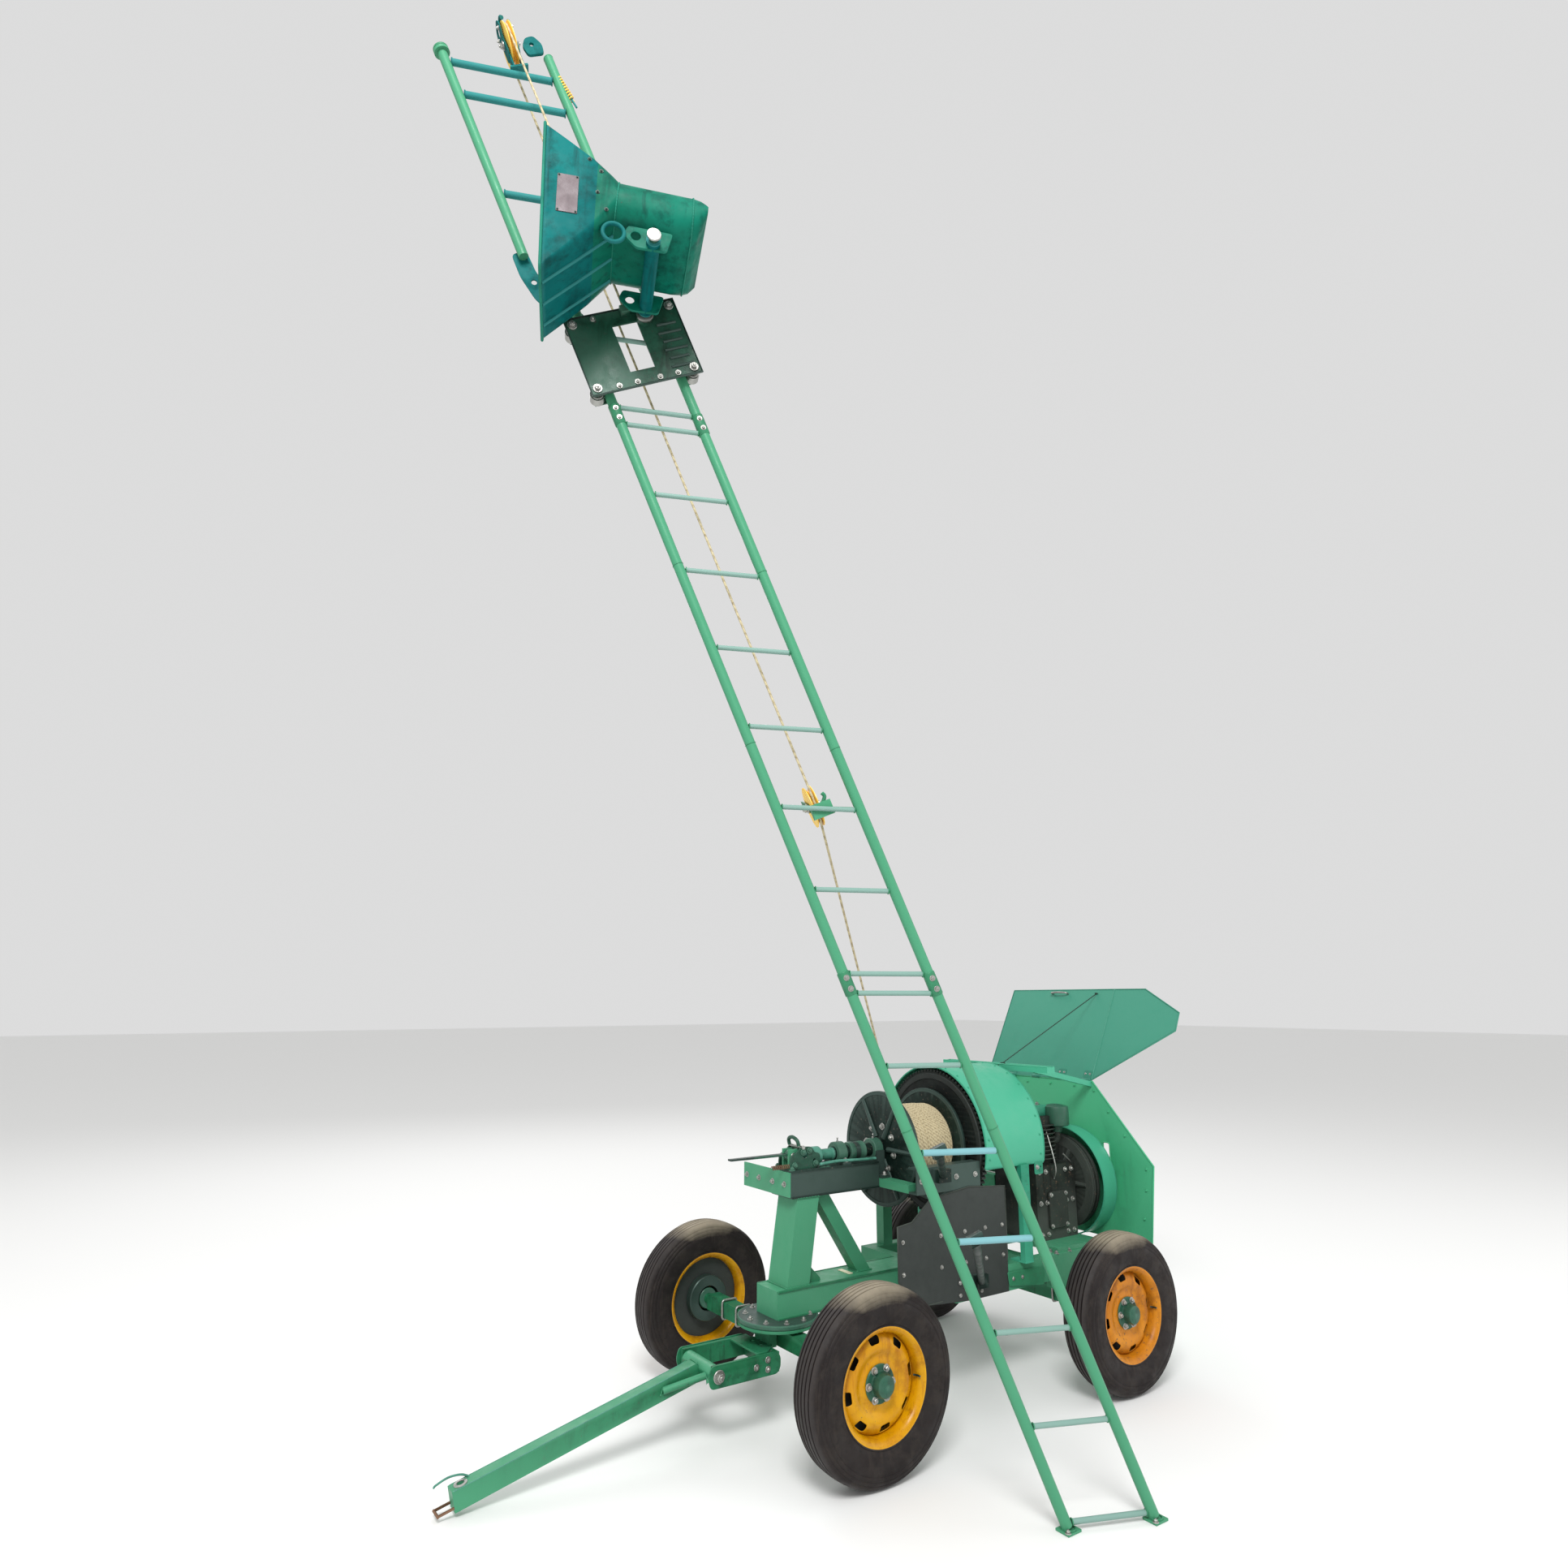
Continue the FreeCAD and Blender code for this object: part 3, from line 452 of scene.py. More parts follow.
def holed_plate(name, outline, holes, thickness, matrix, look, body="chassis", bevel=0.8, replaced=()):
    """A flat plate with real holes, standing on its frame's XY plane."""
    curve = bpy.data.curves.new(name, "CURVE")
    curve.dimensions = "2D"
    curve.fill_mode = "BOTH"
    curve.extrude = (thickness / 2 - bevel) * MM
    curve.bevel_depth = bevel * MM
    curve.bevel_resolution = 1
    for ring in [outline] + list(holes):
        spline = curve.splines.new("POLY")
        spline.points.add(len(ring) - 1)
        for point, (x, y) in zip(spline.points, ring):
            point.co = (x * MM, y * MM, 0, 1)
        spline.use_cyclic_u = True
    holder = bpy.data.objects.new(name + "_outline", curve)
    bpy.context.scene.collection.objects.link(holder)
    mesh = bpy.data.meshes.new_from_object(holder.evaluated_get(bpy.context.evaluated_depsgraph_get()))
    bpy.data.objects.remove(holder)
    for vert in mesh.vertices:
        vert.co.z += thickness / 2 * MM
    obj = bpy.data.objects.new(name, mesh)
    bpy.context.scene.collection.objects.link(obj)
    obj.matrix_world = matrix
    return finish_piece(obj, look, body, replaced)


def sweep_into(bm, points, radii, sides=10, closed=False, twist=0.0):
    """A round bar through points in metres; radii in mm, one number or one per point."""
    if isinstance(radii, (int, float)):
        radii = [radii] * len(points)
    points = [Vector(p) for p in points]
    count = len(points)
    side = None
    rings = []
    for i, point in enumerate(points):
        before = points[i - 1] if i or closed else points[0]
        after = points[(i + 1) % count] if i < count - 1 or closed else points[-1]
        way = (after - before).normalized()
        if side is None:
            side = (X if abs(way.x) < 0.8 else Y)
        side = (side - way * side.dot(way)).normalized()
        other = way.cross(side)
        rings.append([bm.verts.new(point + (side * math.cos(TAU * k / sides + twist * i)
                                            + other * math.sin(TAU * k / sides + twist * i)) * radii[i] * MM)
                      for k in range(sides)])
    pairs = list(zip(rings, rings[1:])) + ([(rings[-1], rings[0])] if closed else [])
    for low, high in pairs:
        for k in range(sides):
            bm.faces.new((low[k], low[(k + 1) % sides], high[(k + 1) % sides], high[k]))
    if not closed:
        bm.faces.new(rings[0][::-1])
        bm.faces.new(rings[-1])


def bar(name, points, radius, look, body="chassis", sides=12, closed=False, replaced=()):
    bm = bmesh.new()
    sweep_into(bm, points, radius, sides, closed)
    return finish_piece(mesh_object(name, bm), look, body, replaced, 60)


def smooth_path(points, steps=8):
    """A Catmull-Rom path through points."""
    points = [Vector(p) for p in points]
    points = [points[0] * 2 - points[1]] + points + [points[-1] * 2 - points[-2]]
    out = []
    for a, b, c, d in zip(points, points[1:], points[2:], points[3:]):
        for k in range(steps):
            t = k / steps
            out.append(0.5 * (2 * b + (c - a) * t + (2 * a - 5 * b + 4 * c - d) * t * t
                              + (3 * b - a - 3 * c + d) * t ** 3))
    return out + [points[-2]]


def fasteners(name, spots, look="steel", body="chassis"):
    """Hex bolts with washers: spots are (point, outward axis, size across flats in mm)."""
    bm = bmesh.new()
    for number, (point, axis, size) in enumerate(spots):
        matrix = at(point, axis) @ Matrix.Rotation(0.7 * number, 4, "Z")
        lathe_into(bm, [(size * 0.3, -1), (size * 0.92, -1), (size * 0.92, size * 0.14),
                        (size * 0.85, size * 0.2), (size * 0.3, size * 0.2)], matrix, 20)
        extrude_into(bm, circle(size * 0.577, 6), size * 0.18, size * 0.75, matrix, size * 0.07)
        sweep_into(bm, [matrix @ Vector((0, 0, size * h * MM)) for h in (0.7, 0.95, 1.0)],
                   [size * 0.3, size * 0.3, size * 0.24], 12)
    return finish_piece(mesh_object(name, bm), look, body)


def weld_beads(name, paths, look, body="chassis", radius=3.0):
    """Rippled weld beads along straight or bent paths."""
    bm = bmesh.new()
    for path in paths:
        path = [Vector(p) for p in path]
        points, radii = [], []
        for a, b in zip(path, path[1:]):
            steps = max(2, int((b - a).length / (radius * 0.9 * MM)))
            for k in range(steps):
                points.append(a.lerp(b, k / steps))
                radii.append(radius * (0.86 + 0.14 * (len(points) % 2) + 0.08 * math.sin(len(points) * 1.7)))
        points.append(path[-1])
        radii.append(radius * 0.7)
        sweep_into(bm, points, radii, 8)
    return finish_piece(mesh_object(name, bm), look, body, smooth=80)


def ring_path(centre, axis, radius, count=24):
    """Points round an axis; the radius is in mm."""
    matrix = at(centre, axis)
    return [matrix @ Vector((*p, 0)) for p in circle(radius * MM, count)]


# ---------- wheels ----------
WHEELBASE, HALF_TRACK, AXLE_Z = 1580, 700, 365
WHEELS = {"front_near": (0, -1), "front_far": (0, 1), "rear_near": (WHEELBASE, -1),
          "rear_far": (WHEELBASE, 1)}
SIDEWALL = [(207, 60), (211, 68), (219, 72.5), (222, 73), (223.5, 71), (226, 74), (243, 79), (262, 82.5),
            (285, 84.8), (306, 84.6), (308, 82.8), (310, 84.2), (323, 82), (325, 79.8), (328, 80.5),
            (337, 76.5), (339.5, 73.5), (343, 74), (350, 69.5), (355, 64)]


def tyre_profile():
    """Bulged sidewalls with moulded rings, and a ribbed tread."""
    tread = []
    for mid in (44, 22, 0, -22, -44):
        top = 364.8 - 5 * (mid / 58) ** 2
        tread += [(top, mid + 4), (top - 8, mid + 2.5), (top - 8, mid - 2.5), (top, mid - 4)]
    return SIDEWALL + tread + [(r, -h) for r, h in reversed(SIDEWALL)]


RIM_BARREL = [(206, -62), (220, -63), (223, -67), (220, -71), (213, -71), (205, -67), (197, -60), (189, -46),
              (187, 0), (189, 46), (197, 60), (205, 67), (213, 71), (220, 71), (223, 67), (220, 63),
              (206, 62), (203, 46), (201, 0), (203, -46)]
RIM_DISC = [(190, 2), (186, 10), (178, 21), (166, 31), (150, 37), (134, 38), (120, 33), (108, 25), (96, 22),
            (84, 25), (74, 27), (58, 27)]
HUB = [(1, -62), (46, -62), (50, -58), (50, 26), (70, 28), (73, 31), (73, 35), (70, 38), (52, 39), (47, 43),
       (45, 66), (41, 76), (31, 82), (14, 84), (1, 84)]


def build_wheel(tag, x, side):
    """A ribbed tyre, a pressed rim with its holes, and a hub with nuts and a valve."""
    body, centre = "wheel_" + tag, place(x, side * HALF_TRACK, AXLE_Z)
    turn = turn_to(Y * side, X)
    spot = Matrix.Translation(centre)
    bm = bmesh.new()
    lathe_into(bm, tyre_profile(), turn, 96)
    finish_piece(mesh_object("tyre_%s_detail" % tag, bm, spot), "tyre", body, ("tyre_" + tag,), 50)

    paint = "yellow" if tag.startswith("front") else "rim_orange"
    bm = bmesh.new()
    lathe_into(bm, RIM_BARREL, turn, 72)
    finish_piece(mesh_object("rim_%s_barrel" % tag, bm, spot), paint, body, ("rim_" + tag,), 50)
    bm = bmesh.new()
    _, bands = lathe_into(bm, RIM_DISC, turn, 64, closed=False)
    holes = [face for band in bands[2:4] for i, face in enumerate(band) if i % 8 < 3]
    bmesh.ops.delete(bm, geom=holes, context="FACES")
    disc = mesh_object("rim_%s_disc" % tag, bm, spot)
    thick = disc.modifiers.new("thickness", "SOLIDIFY")
    thick.thickness, thick.offset = 5 * MM, 0
    disc.modifiers.new("rounding", "SUBSURF").levels = 1
    finish_piece(disc, paint, body, smooth=0)
    for face in disc.data.polygons:
        face.use_smooth = True
    # A backing disc behind the rim disc stands in part for the brake backing plate. Its near-black colour is
    # painted shade, so the rim's holes read dark like the shade inside the wheel.
    lathe("rim_%s_back" % tag, [(60, -16), (186, -16), (186, -9), (60, -9)], spot @ turn, "soot", body, 64)
    bm = bmesh.new()
    lathe_into(bm, HUB, turn, 40)
    finish_piece(mesh_object("hub_%s_dome" % tag, bm, spot), "hub", body)
    bm = bmesh.new()
    lathe_into(bm, [(60, -66), (104, -66), (108, -62), (108, -24), (103, -20), (60, -20)], turn, 48)
    finish_piece(mesh_object("hub_%s_drum" % tag, bm, spot), "dark", body)
    wheel = spot @ turn
    spots = [(wheel @ Vector((*p, 0.037)), Y * side, 17) for p in circle(0.061, 6)]
    fasteners("hub_%s_nuts" % tag, spots, "steel", body)
    stem = [wheel @ Vector(p) for p in ((0.176, 0, 0.036), (0.184, 0, 0.05), (0.186, 0, 0.066))]
    bar("valve_%s" % tag, smooth_path(stem, 4), 4, "dark", body)


# ---------- bucket ----------
PIVOT_P, PIVOT_B = 250, 4960
BUCKET_FRAME = frame_at(on_ladder(PIVOT_P, 0, PIVOT_B), ACROSS, BEHIND)
BUCKET_MID, BUCKET_HALF = -310, 210
# Each station: top edge (x, z), bottom edge (x, z), corner radius.
BUCKET_STATIONS = [((-421, 433), (-408, -200), 14), ((-340, 389), (-338, -130), 26),
                   ((-235, 332), (-240, -31), 46), ((-165, 294), (-172, 38), 84),
                   ((-133, 276), (-149, 61), 105), ((-80, 274), (-90, 59), 106),
                   ((100, 266), (100, 52), 105), ((150, 258), (146, 62), 94),
                   ((180, 240), (172, 84), 74), ((198, 212), (190, 120), 44),
                   ((206, 190), (204, 150), 19)]
NECK = ((-133, 276), (-149, 61), 105)
NECK_END = ((150, 258), (146, 62), 94)


def in_bucket(x, y, z):
    """A point in the bucket's own frame, in millimetres from its pivot."""
    return BUCKET_FRAME @ (Vector((x, y, z)) * MM)


def bucket_side(x, y, z):
    """A placing matrix on a plane across the bucket's hinge: X along it, Y up."""
    turn = BUCKET_FRAME.to_3x3().to_4x4() @ Matrix.Rotation(TAU / 4, 4, "X")
    return Matrix.Translation(in_bucket(x, y, z)) @ turn


def bucket_ring(top, bottom, radius, grow=0.0):
    """One cross-section of the shell: a rounded rectangle between a top and a bottom point."""
    top, bottom = Vector((top[0], 0, top[1])), Vector((bottom[0], 0, bottom[1]))
    centre, up = (top + bottom) / 2, (top - bottom).normalized()
    half = (top - bottom).length / 2 + grow
    wide = BUCKET_HALF + grow
    radius = min(radius, half - 0.5)
    points = []
    for cx, cy, start in ((1, 1, 0), (-1, 1, 1), (-1, -1, 2), (1, -1, 3)):
        for k in range(9):
            angle = math.pi / 2 * (start + k / 8)
            y = cx * (wide - radius) + radius * math.cos(angle)
            h = cy * (half - radius) + radius * math.sin(angle)
            points.append((centre + up * h + Vector((0, BUCKET_MID + y, 0))) * MM)
    return points


def build_bucket():
    """The flared shell, its lip, seams, hinge tube, webs and stiffeners."""
    bm = bmesh.new()
    rings = []
    for (top, bottom, radius), (top2, bottom2, radius2) in zip(BUCKET_STATIONS, BUCKET_STATIONS[1:]):
        for k in range(4):
            t = k / 4
            rings.append(bucket_ring(Vector(top).lerp(Vector(top2), t),
                                     Vector(bottom).lerp(Vector(bottom2), t), radius * (1 - t) + radius2 * t))
    rings.append(bucket_ring(*BUCKET_STATIONS[-1]))
    rows = [[bm.verts.new(p) for p in ring] for ring in rings]
    count = len(rows[0])
    for low, high in zip(rows, rows[1:]):
        for i in range(count):
            bm.faces.new((low[i], low[(i + 1) % count], high[(i + 1) % count], high[i]))
    bm.faces.new(rows[-1])
    shell = mesh_object("bucket_shell", bm, BUCKET_FRAME)
    wall = shell.modifiers.new("wall", "SOLIDIFY")
    wall.thickness, wall.offset = 4 * MM, -1
    finish_piece(shell, "bucket_green", "bucket", ("bucket",), 40)
    shell.data.materials.append(MATERIALS["teal"])
    for face in shell.data.polygons:
        face.material_index = 1 if face.center.x < -0.225 else 0
    lip = [BUCKET_FRAME @ p for p in bucket_ring(*BUCKET_STATIONS[0], grow=2)]
    bar("bucket_lip", lip, 6, "bucket_green", "bucket", 10, closed=True)
    seams = [[BUCKET_FRAME @ p for p in bucket_ring(*ring, grow=1)] for ring in (NECK, NECK_END)]
    weld_beads("bucket_seams", [looped(seam) for seam in seams], "bucket_green", "bucket", 3)
    # Hinge tube under the neck, its two web plates with a round eye, and a plain plate on the side.
    near = on_ladder(PIVOT_P, BUCKET_MID - 200, PIVOT_B)
    lathe("bucket_hinge_tube", [(16.3, 0), (28, 0), (28, 5), (27, 6), (27, 394), (28, 395), (28, 400),
                                (16.3, 400)], at(near, BEHIND), "teal", "bucket", 32)
    for number, y in enumerate((-490, -142)):
        outline = round_outline([(-62, -26), (52, -26), (74, 56), (-96, 62), (-112, 20)], 14)
        plane = bucket_side(0, y + 12, 0)
        holed_plate("bucket_web_%d" % number, outline, [circle(20, 24, -66, 22), circle(16.4)], 12, plane,
                    "bucket_green", "bucket")
        seat = [(-94, 60), (-40, 58), (72, 54)]
        weld_beads("bucket_web_weld_%d" % number,
                   [[in_bucket(x, y + 6, z) for x, z in seat]],
                   "bucket_green", "bucket", 4)
    eye = in_bucket(-150, BUCKET_MID - BUCKET_HALF + 20, 12)
    bar("bucket_eye", ring_path(eye, BEHIND, 40, 32), 8, "teal", "bucket", 10, closed=True)
    near_side = BUCKET_MID - BUCKET_HALF
    extrusion("bucket_plain_plate", slab(78, 165, 4), -1, 2, bucket_side(-325, near_side - 1, 130),
              "plate", "bucket", 0.5)
    rivets = []
    for dx, dz in ((-33, -76), (33, -76), (-33, 76), (33, 76)):
        rivets.append((in_bucket(-325 + dx, near_side - 3, 130 + dz), -BEHIND, 5))
    for x, z in ((-215, 160), (-205, 255), (-250, 300), (-180, 90)):
        rivets.append((in_bucket(x, near_side, z), -BEHIND, 9))
    fasteners("bucket_rivets", rivets, "dark", "bucket")
    for number, y in enumerate((-430, -310, -190)):
        path = [in_bucket(x, y, z) for x, z in ((-404, -196), (-280, -72), (-152, 58))]
        bar("bucket_stiffener_%d" % number, path, 7, "teal", "bucket", 8)


# ---------- ladder ----------
RUNGS = [30 + 345 * i for i in range(6)] + [2050, 2130] + [2480 + 350 * i for i in range(6)]
RUNGS += [4560, 4640, 4990]
SPLITS = (2090, 4600)
LADDER_LENGTH, HEAD_B = 6480, 6440
OUTER_P, ROPE_P = -120, 180


def build_ladder():
    """Welds, splice sleeves and bolts, stile caps, and two thicker rungs."""
    welds = []
    for b in RUNGS:
        for p in (23.5, GAUGE - 23.5):
            welds.append(ring_path(on_rung(p, 0, b), ACROSS, 11, 12))
    weld_beads("rung_welds", [looped(w) for w in welds], "green", "chassis", 2.6)
    spots = []
    for b in SPLITS:
        for p in (0, GAUGE):
            for lift in (-22, 22):
                spots.append((on_rung(p, -22, b + lift), -BEHIND, 13))
    fasteners("splice_bolts", spots)
    for number, (p, b) in enumerate([(p, b) for b in SPLITS for p in (0, GAUGE)]):
        lathe("splice_sleeve_%d" % number, [(21.4, -46), (23.4, -46), (24.4, -44), (24.4, 44), (23.4, 46),
                                            (21.4, 46)], at(on_rung(p, 0, b), UP_STILE), "green", "chassis",
              32)
    for number, p in enumerate((0, GAUGE)):
        spot = FOOT + ACROSS * (p / math.cos(LEAN)) * MM
        weld_beads("foot_weld_%d" % number, [looped(ring_path(spot + Z * 0.010, Z, 25, 20))], "green",
                   "chassis", 4)
        fasteners("foot_bolts_%d" % number, [(Vector((spot.x + dx, spot.y + dy, 0.008)), Z, 12)
                                             for dx, dy in ((-0.027, -0.021), (0.027, 0.021))])
    # Two rungs near the machine are thicker and paler.
    for number in (3, 4):
        ends = [on_rung(p, 0, RUNGS[number]) for p in (24, GAUGE - 24)]
        bar("thick_rung_%d" % number, ends, 12, "pale_rung", "chassis", 20)
    lathe("upper_rail_cap", [(1, 8), (30, 8), (33, 5), (34, 0), (33, -3), (1, -3)],
          at(on_ladder(OUTER_P, 0, 6458), UP_STILE), "green", "chassis", 32)
    lathe("right_stile_cap", [(1, 6), (17, 6), (21, 2), (22, -3), (1, -3)],
          at(on_rung(GAUGE, 0, LADDER_LENGTH), UP_STILE), "green", "chassis", 32)
    rings = []
    for p in (0, GAUGE):
        for b in (1500, 3100, 3900):
            rings.append(ring_path(on_rung(p, 0, b), UP_STILE, 21.6, 20))
    weld_beads("stile_seams", [looped(r) for r in rings], "green", "chassis", 1.6)


def build_guide_plate():
    """The curved plate that tips the bucket, with its real lightening holes."""
    o = OUTER_P
    curve = [(o - 40, 5440), (o - 40, 5330), (o - 15, 5210), (o + 40, 5120), (o + 95, 5060), (35, 5060),
             (35, 5095), (-10, 5160), (o + 70, 5230), (o + 30, 5330), (o + 25, 5440)]
    centre = (o, 5250)
    outline = round_outline([(x - centre[0], -(y - centre[1])) for x, y in curve][::-1], 22, 4)
    plane = frame_at(on_ladder(centre[0], 21.5, centre[1]), SQUARE, -UP_STILE)
    holes = [circle(13, 20, 6, -40), circle(10, 20, 58, 82), circle(9, 18, 84, 112), circle(8, 18, 118, 150)]
    holed_plate("guide_plate_detail", outline, holes, 6, plane, "teal", "chassis", 1.0, ("guide_plate",))


# ---------- head of the ladder ----------
def build_head():
    """Cheeks and keeper of the head sheave, its side lug, and a coil spring on its hanger."""
    centre = on_ladder(ROPE_P, 0, HEAD_B)
    frame_turn = frame_at(centre, BEHIND, UP_STILE)
    outline = round_outline([(-34, -66), (34, -66), (30, 10), (58, 62), (30, 104), (-30, 104), (-58, 62),
                             (-30, 10)], 20, 5)
    for number, offset in enumerate((-27, 22)):
        holed_plate("head_cheek_%d" % number, outline, [circle(20, 24, 0, 68), circle(12.4)], 5,
                    frame_turn @ Matrix.Translation((0, 0, offset * MM)), "teal")
    fasteners("head_bolts", [(on_ladder(ROPE_P + s * 28, y, HEAD_B + h), SQUARE * s, size)
                             for s in (-1, 1) for y, h, size in ((0, 0, 20), (-32, 60, 11), (32, 60, 11))])
    ring = smooth_path([on_ladder(ROPE_P, -46, HEAD_B + 96), on_ladder(ROPE_P, -20, HEAD_B + 124),
                        on_ladder(ROPE_P, 24, HEAD_B + 122), on_ladder(ROPE_P, 48, HEAD_B + 92)], 8)
    bar("head_keeper", ring, 8, "teal")
    lug = round_outline([(-34, -40), (34, -40), (40, 6), (16, 52), (-22, 46), (-44, 8)], 14, 5)
    spot = on_ladder(ROPE_P + 92, -10, 6395)
    holed_plate("head_side_lug", lug, [circle(12, 20, -4, 10)], 14,
                frame_at(spot, SQUARE, UP_STILE), "teal", "chassis", 2.5)
    # A coil spring and its hanger at the right end of the cross bar.
    low, high = on_ladder(GAUGE + 30, -8, 6090), on_ladder(GAUGE + 4, -8, 6250)
    way = (high - low).normalized()
    base = at(low, way)
    turns, steps = 9, 14
    length = (high - low).length
    coil = [base @ Vector((0.011 * math.cos(TAU * k / steps), 0.011 * math.sin(TAU * k / steps),
                           length * (0.12 + 0.76 * k / (turns * steps)))) for k in range(turns * steps + 1)]
    bar("head_spring", coil, 3, "orange", "chassis", 8)
    bar("head_hanger", [low - way * 0.02, high + way * 0.01], 4.5, "teal")
    welds = []
    for b in (6400, 6230, 5720):
        for p in (OUTER_P, GAUGE):
            inner = p + (25 if p == OUTER_P else -25)
            welds.append(ring_path(on_ladder(inner, 0, b - DROP * (inner - OUTER_P)), ACROSS, 16, 14))
    weld_beads("head_welds", [looped(w) for w in welds], "teal", "chassis", 3)


# ---------- winch ----------
DRUM_Z, DRUM_FRONT, DRUM_BACK = 1120, 640, 970
PACK_R = 200
GEAR_R = (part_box("bull_gear")[1].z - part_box("bull_gear")[0].z) / 2 / MM
GUARD_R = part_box("gear_guard")[1].z / MM - DRUM_Z
GUARD_BACK = (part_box("gear_guard")[1].x - KING_PIN.x) / MM


def off_drum(x, radius, angle):
    """A point at an angle and a radius about the drum's axis; angle 0 is the far side."""
    y, z = polar(radius, angle, 0, DRUM_Z)
    return place(x, y, z)


def build_winch():
    """Rope turns, drum flanges, bull gear, band guard trim and bearing caps."""
    turns, steps = 30, 40
    first, pitch = DRUM_FRONT + 18, (DRUM_BACK - DRUM_FRONT - 36) / 30
    path = []
    for k in range(turns * steps + 1):
        angle = TAU * k / steps
        wander = 1.6 * math.sin(angle * 0.31) + 1.0 * math.sin(angle * 0.077 + 1)
        path.append(off_drum(first + pitch * k / steps + wander, PACK_R - 0.5, angle))
    bar("rope_turns", path, 5.4, "rope", "winch_drum", 7)
    # A second, looser layer over the middle of the drum.
    loose = []
    for k in range(9 * steps + 1):
        angle = -TAU * k / steps
        loose.append(off_drum(790 + 11 * k / steps + 3 * math.sin(angle * 0.4), PACK_R + 3, angle))
    bar("rope_turns_loose", loose, 5, "rope", "winch_drum", 7)
    for number, x in enumerate((DRUM_FRONT, DRUM_BACK - 12)):
        lathe("drum_flange_rim_%d" % number, [(262, -3), (279, -3), (281, 0), (281, 12), (279, 15),
                                              (262, 15)], at(place(x, 0, DRUM_Z), X), "dark", "winch_drum",
              96)
        face = x - 3 if number == 0 else x + 15
        outward = -X if number == 0 else X
        bm = bmesh.new()
        for k in range(6):
            sweep_into(bm, [off_drum(face, r, TAU * k / 6) for r in (60, 262)], [13, 9], 8)
        finish_piece(mesh_object("drum_flange_ribs_%d" % number, bm), "dark", "winch_drum")
        fasteners("drum_flange_bolts_%d" % number, [(off_drum(face, 110, TAU * k / 8 + 0.2), outward,
                                                     19) for k in range(8)], "steel", "winch_drum")
    # The bull gear: a solid web with a raised rim, and its teeth.
    gear_at = at(place(DRUM_BACK + 35, 0, DRUM_Z), X)
    teeth, outline = 94, []
    for k in range(teeth):
        for part, depth in ((0.0, 12), (0.22, 12), (0.36, 0), (0.66, 0), (0.8, 12)):
            outline.append(polar(GEAR_R - depth, TAU * (k + part) / teeth))
    holed_plate("bull_gear_detail", outline, [circle(30.4, 40)], 30, gear_at, "soot", "winch_drum", 1.0,
                ("bull_gear",))
    lathe("bull_gear_rim", [(GEAR_R - 52, 1), (GEAR_R - 46, -5), (GEAR_R - 22, -5), (GEAR_R - 18, -1),
                            (GEAR_R - 18, 31), (GEAR_R - 22, 35), (GEAR_R - 46, 35), (GEAR_R - 52, 29)],
          gear_at, "soot", "winch_drum", 96)
    lathe("bull_gear_boss", [(30.4, -6), (70, -6), (74, -2), (74, 34), (68, 39), (30.4, 39)],
          gear_at, "cast", "winch_drum", 48)
    # Rolled edges and rivets of the band guard.
    for number, x in enumerate((1001, GUARD_BACK - 1)):
        arc = [off_drum(x, GUARD_R - 2, math.radians(-12 + 204 * k / 60)) for k in range(61)]
        bar("gear_guard_edge_%d" % number, arc, 5, "band_green", "chassis", 8)
    rivets = []
    for k in range(15):
        a = math.radians(-6 + 192 * k / 14)
        for x in (1026, GUARD_BACK - 26):
            rivets.append((off_drum(x, GUARD_R, a), Vector((0, *polar(1, a))), 7))
    fasteners("gear_guard_rivets", rivets, "band_green")
    tab = at(place(GUARD_BACK - 40, -(GUARD_R - 13), 1012), -Y, X)
    holed_plate("gear_guard_tab", slab(60, 70, 10), [circle(6, 14, 14, 0)], 5, tab, "band_green")
    fasteners("gear_guard_tab_bolt", [(tab @ Vector((-0.014, 0, 0.005)), -Y, 13)])
    # Bearing caps, grease nipples and foot bolts.
    spots = []
    for x, low, half in ((360, 1073.5, 64), (590, 993.5, 86), (1075, 1010.5, 86)):
        for s in (-1, 1):
            spots.append((place(x, s * half, low + 14), Z, 18))
        lathe("bearing_cap_%d" % x, [(33, -27), (50, -27), (54, -23), (54, 23), (50, 27), (33, 27)],
              at(place(x, 0, DRUM_Z), X), "hub", "chassis", 40)
        lathe("grease_nipple_%d" % x, [(0.5, 0), (6, 0), (6, 6), (3, 8), (3, 14), (5, 17), (3, 21),
                                       (0.5, 21)], at(place(x, 0, DRUM_Z + 53), Z), "steel", "chassis", 16)
    fasteners("bearing_foot_bolts", spots)


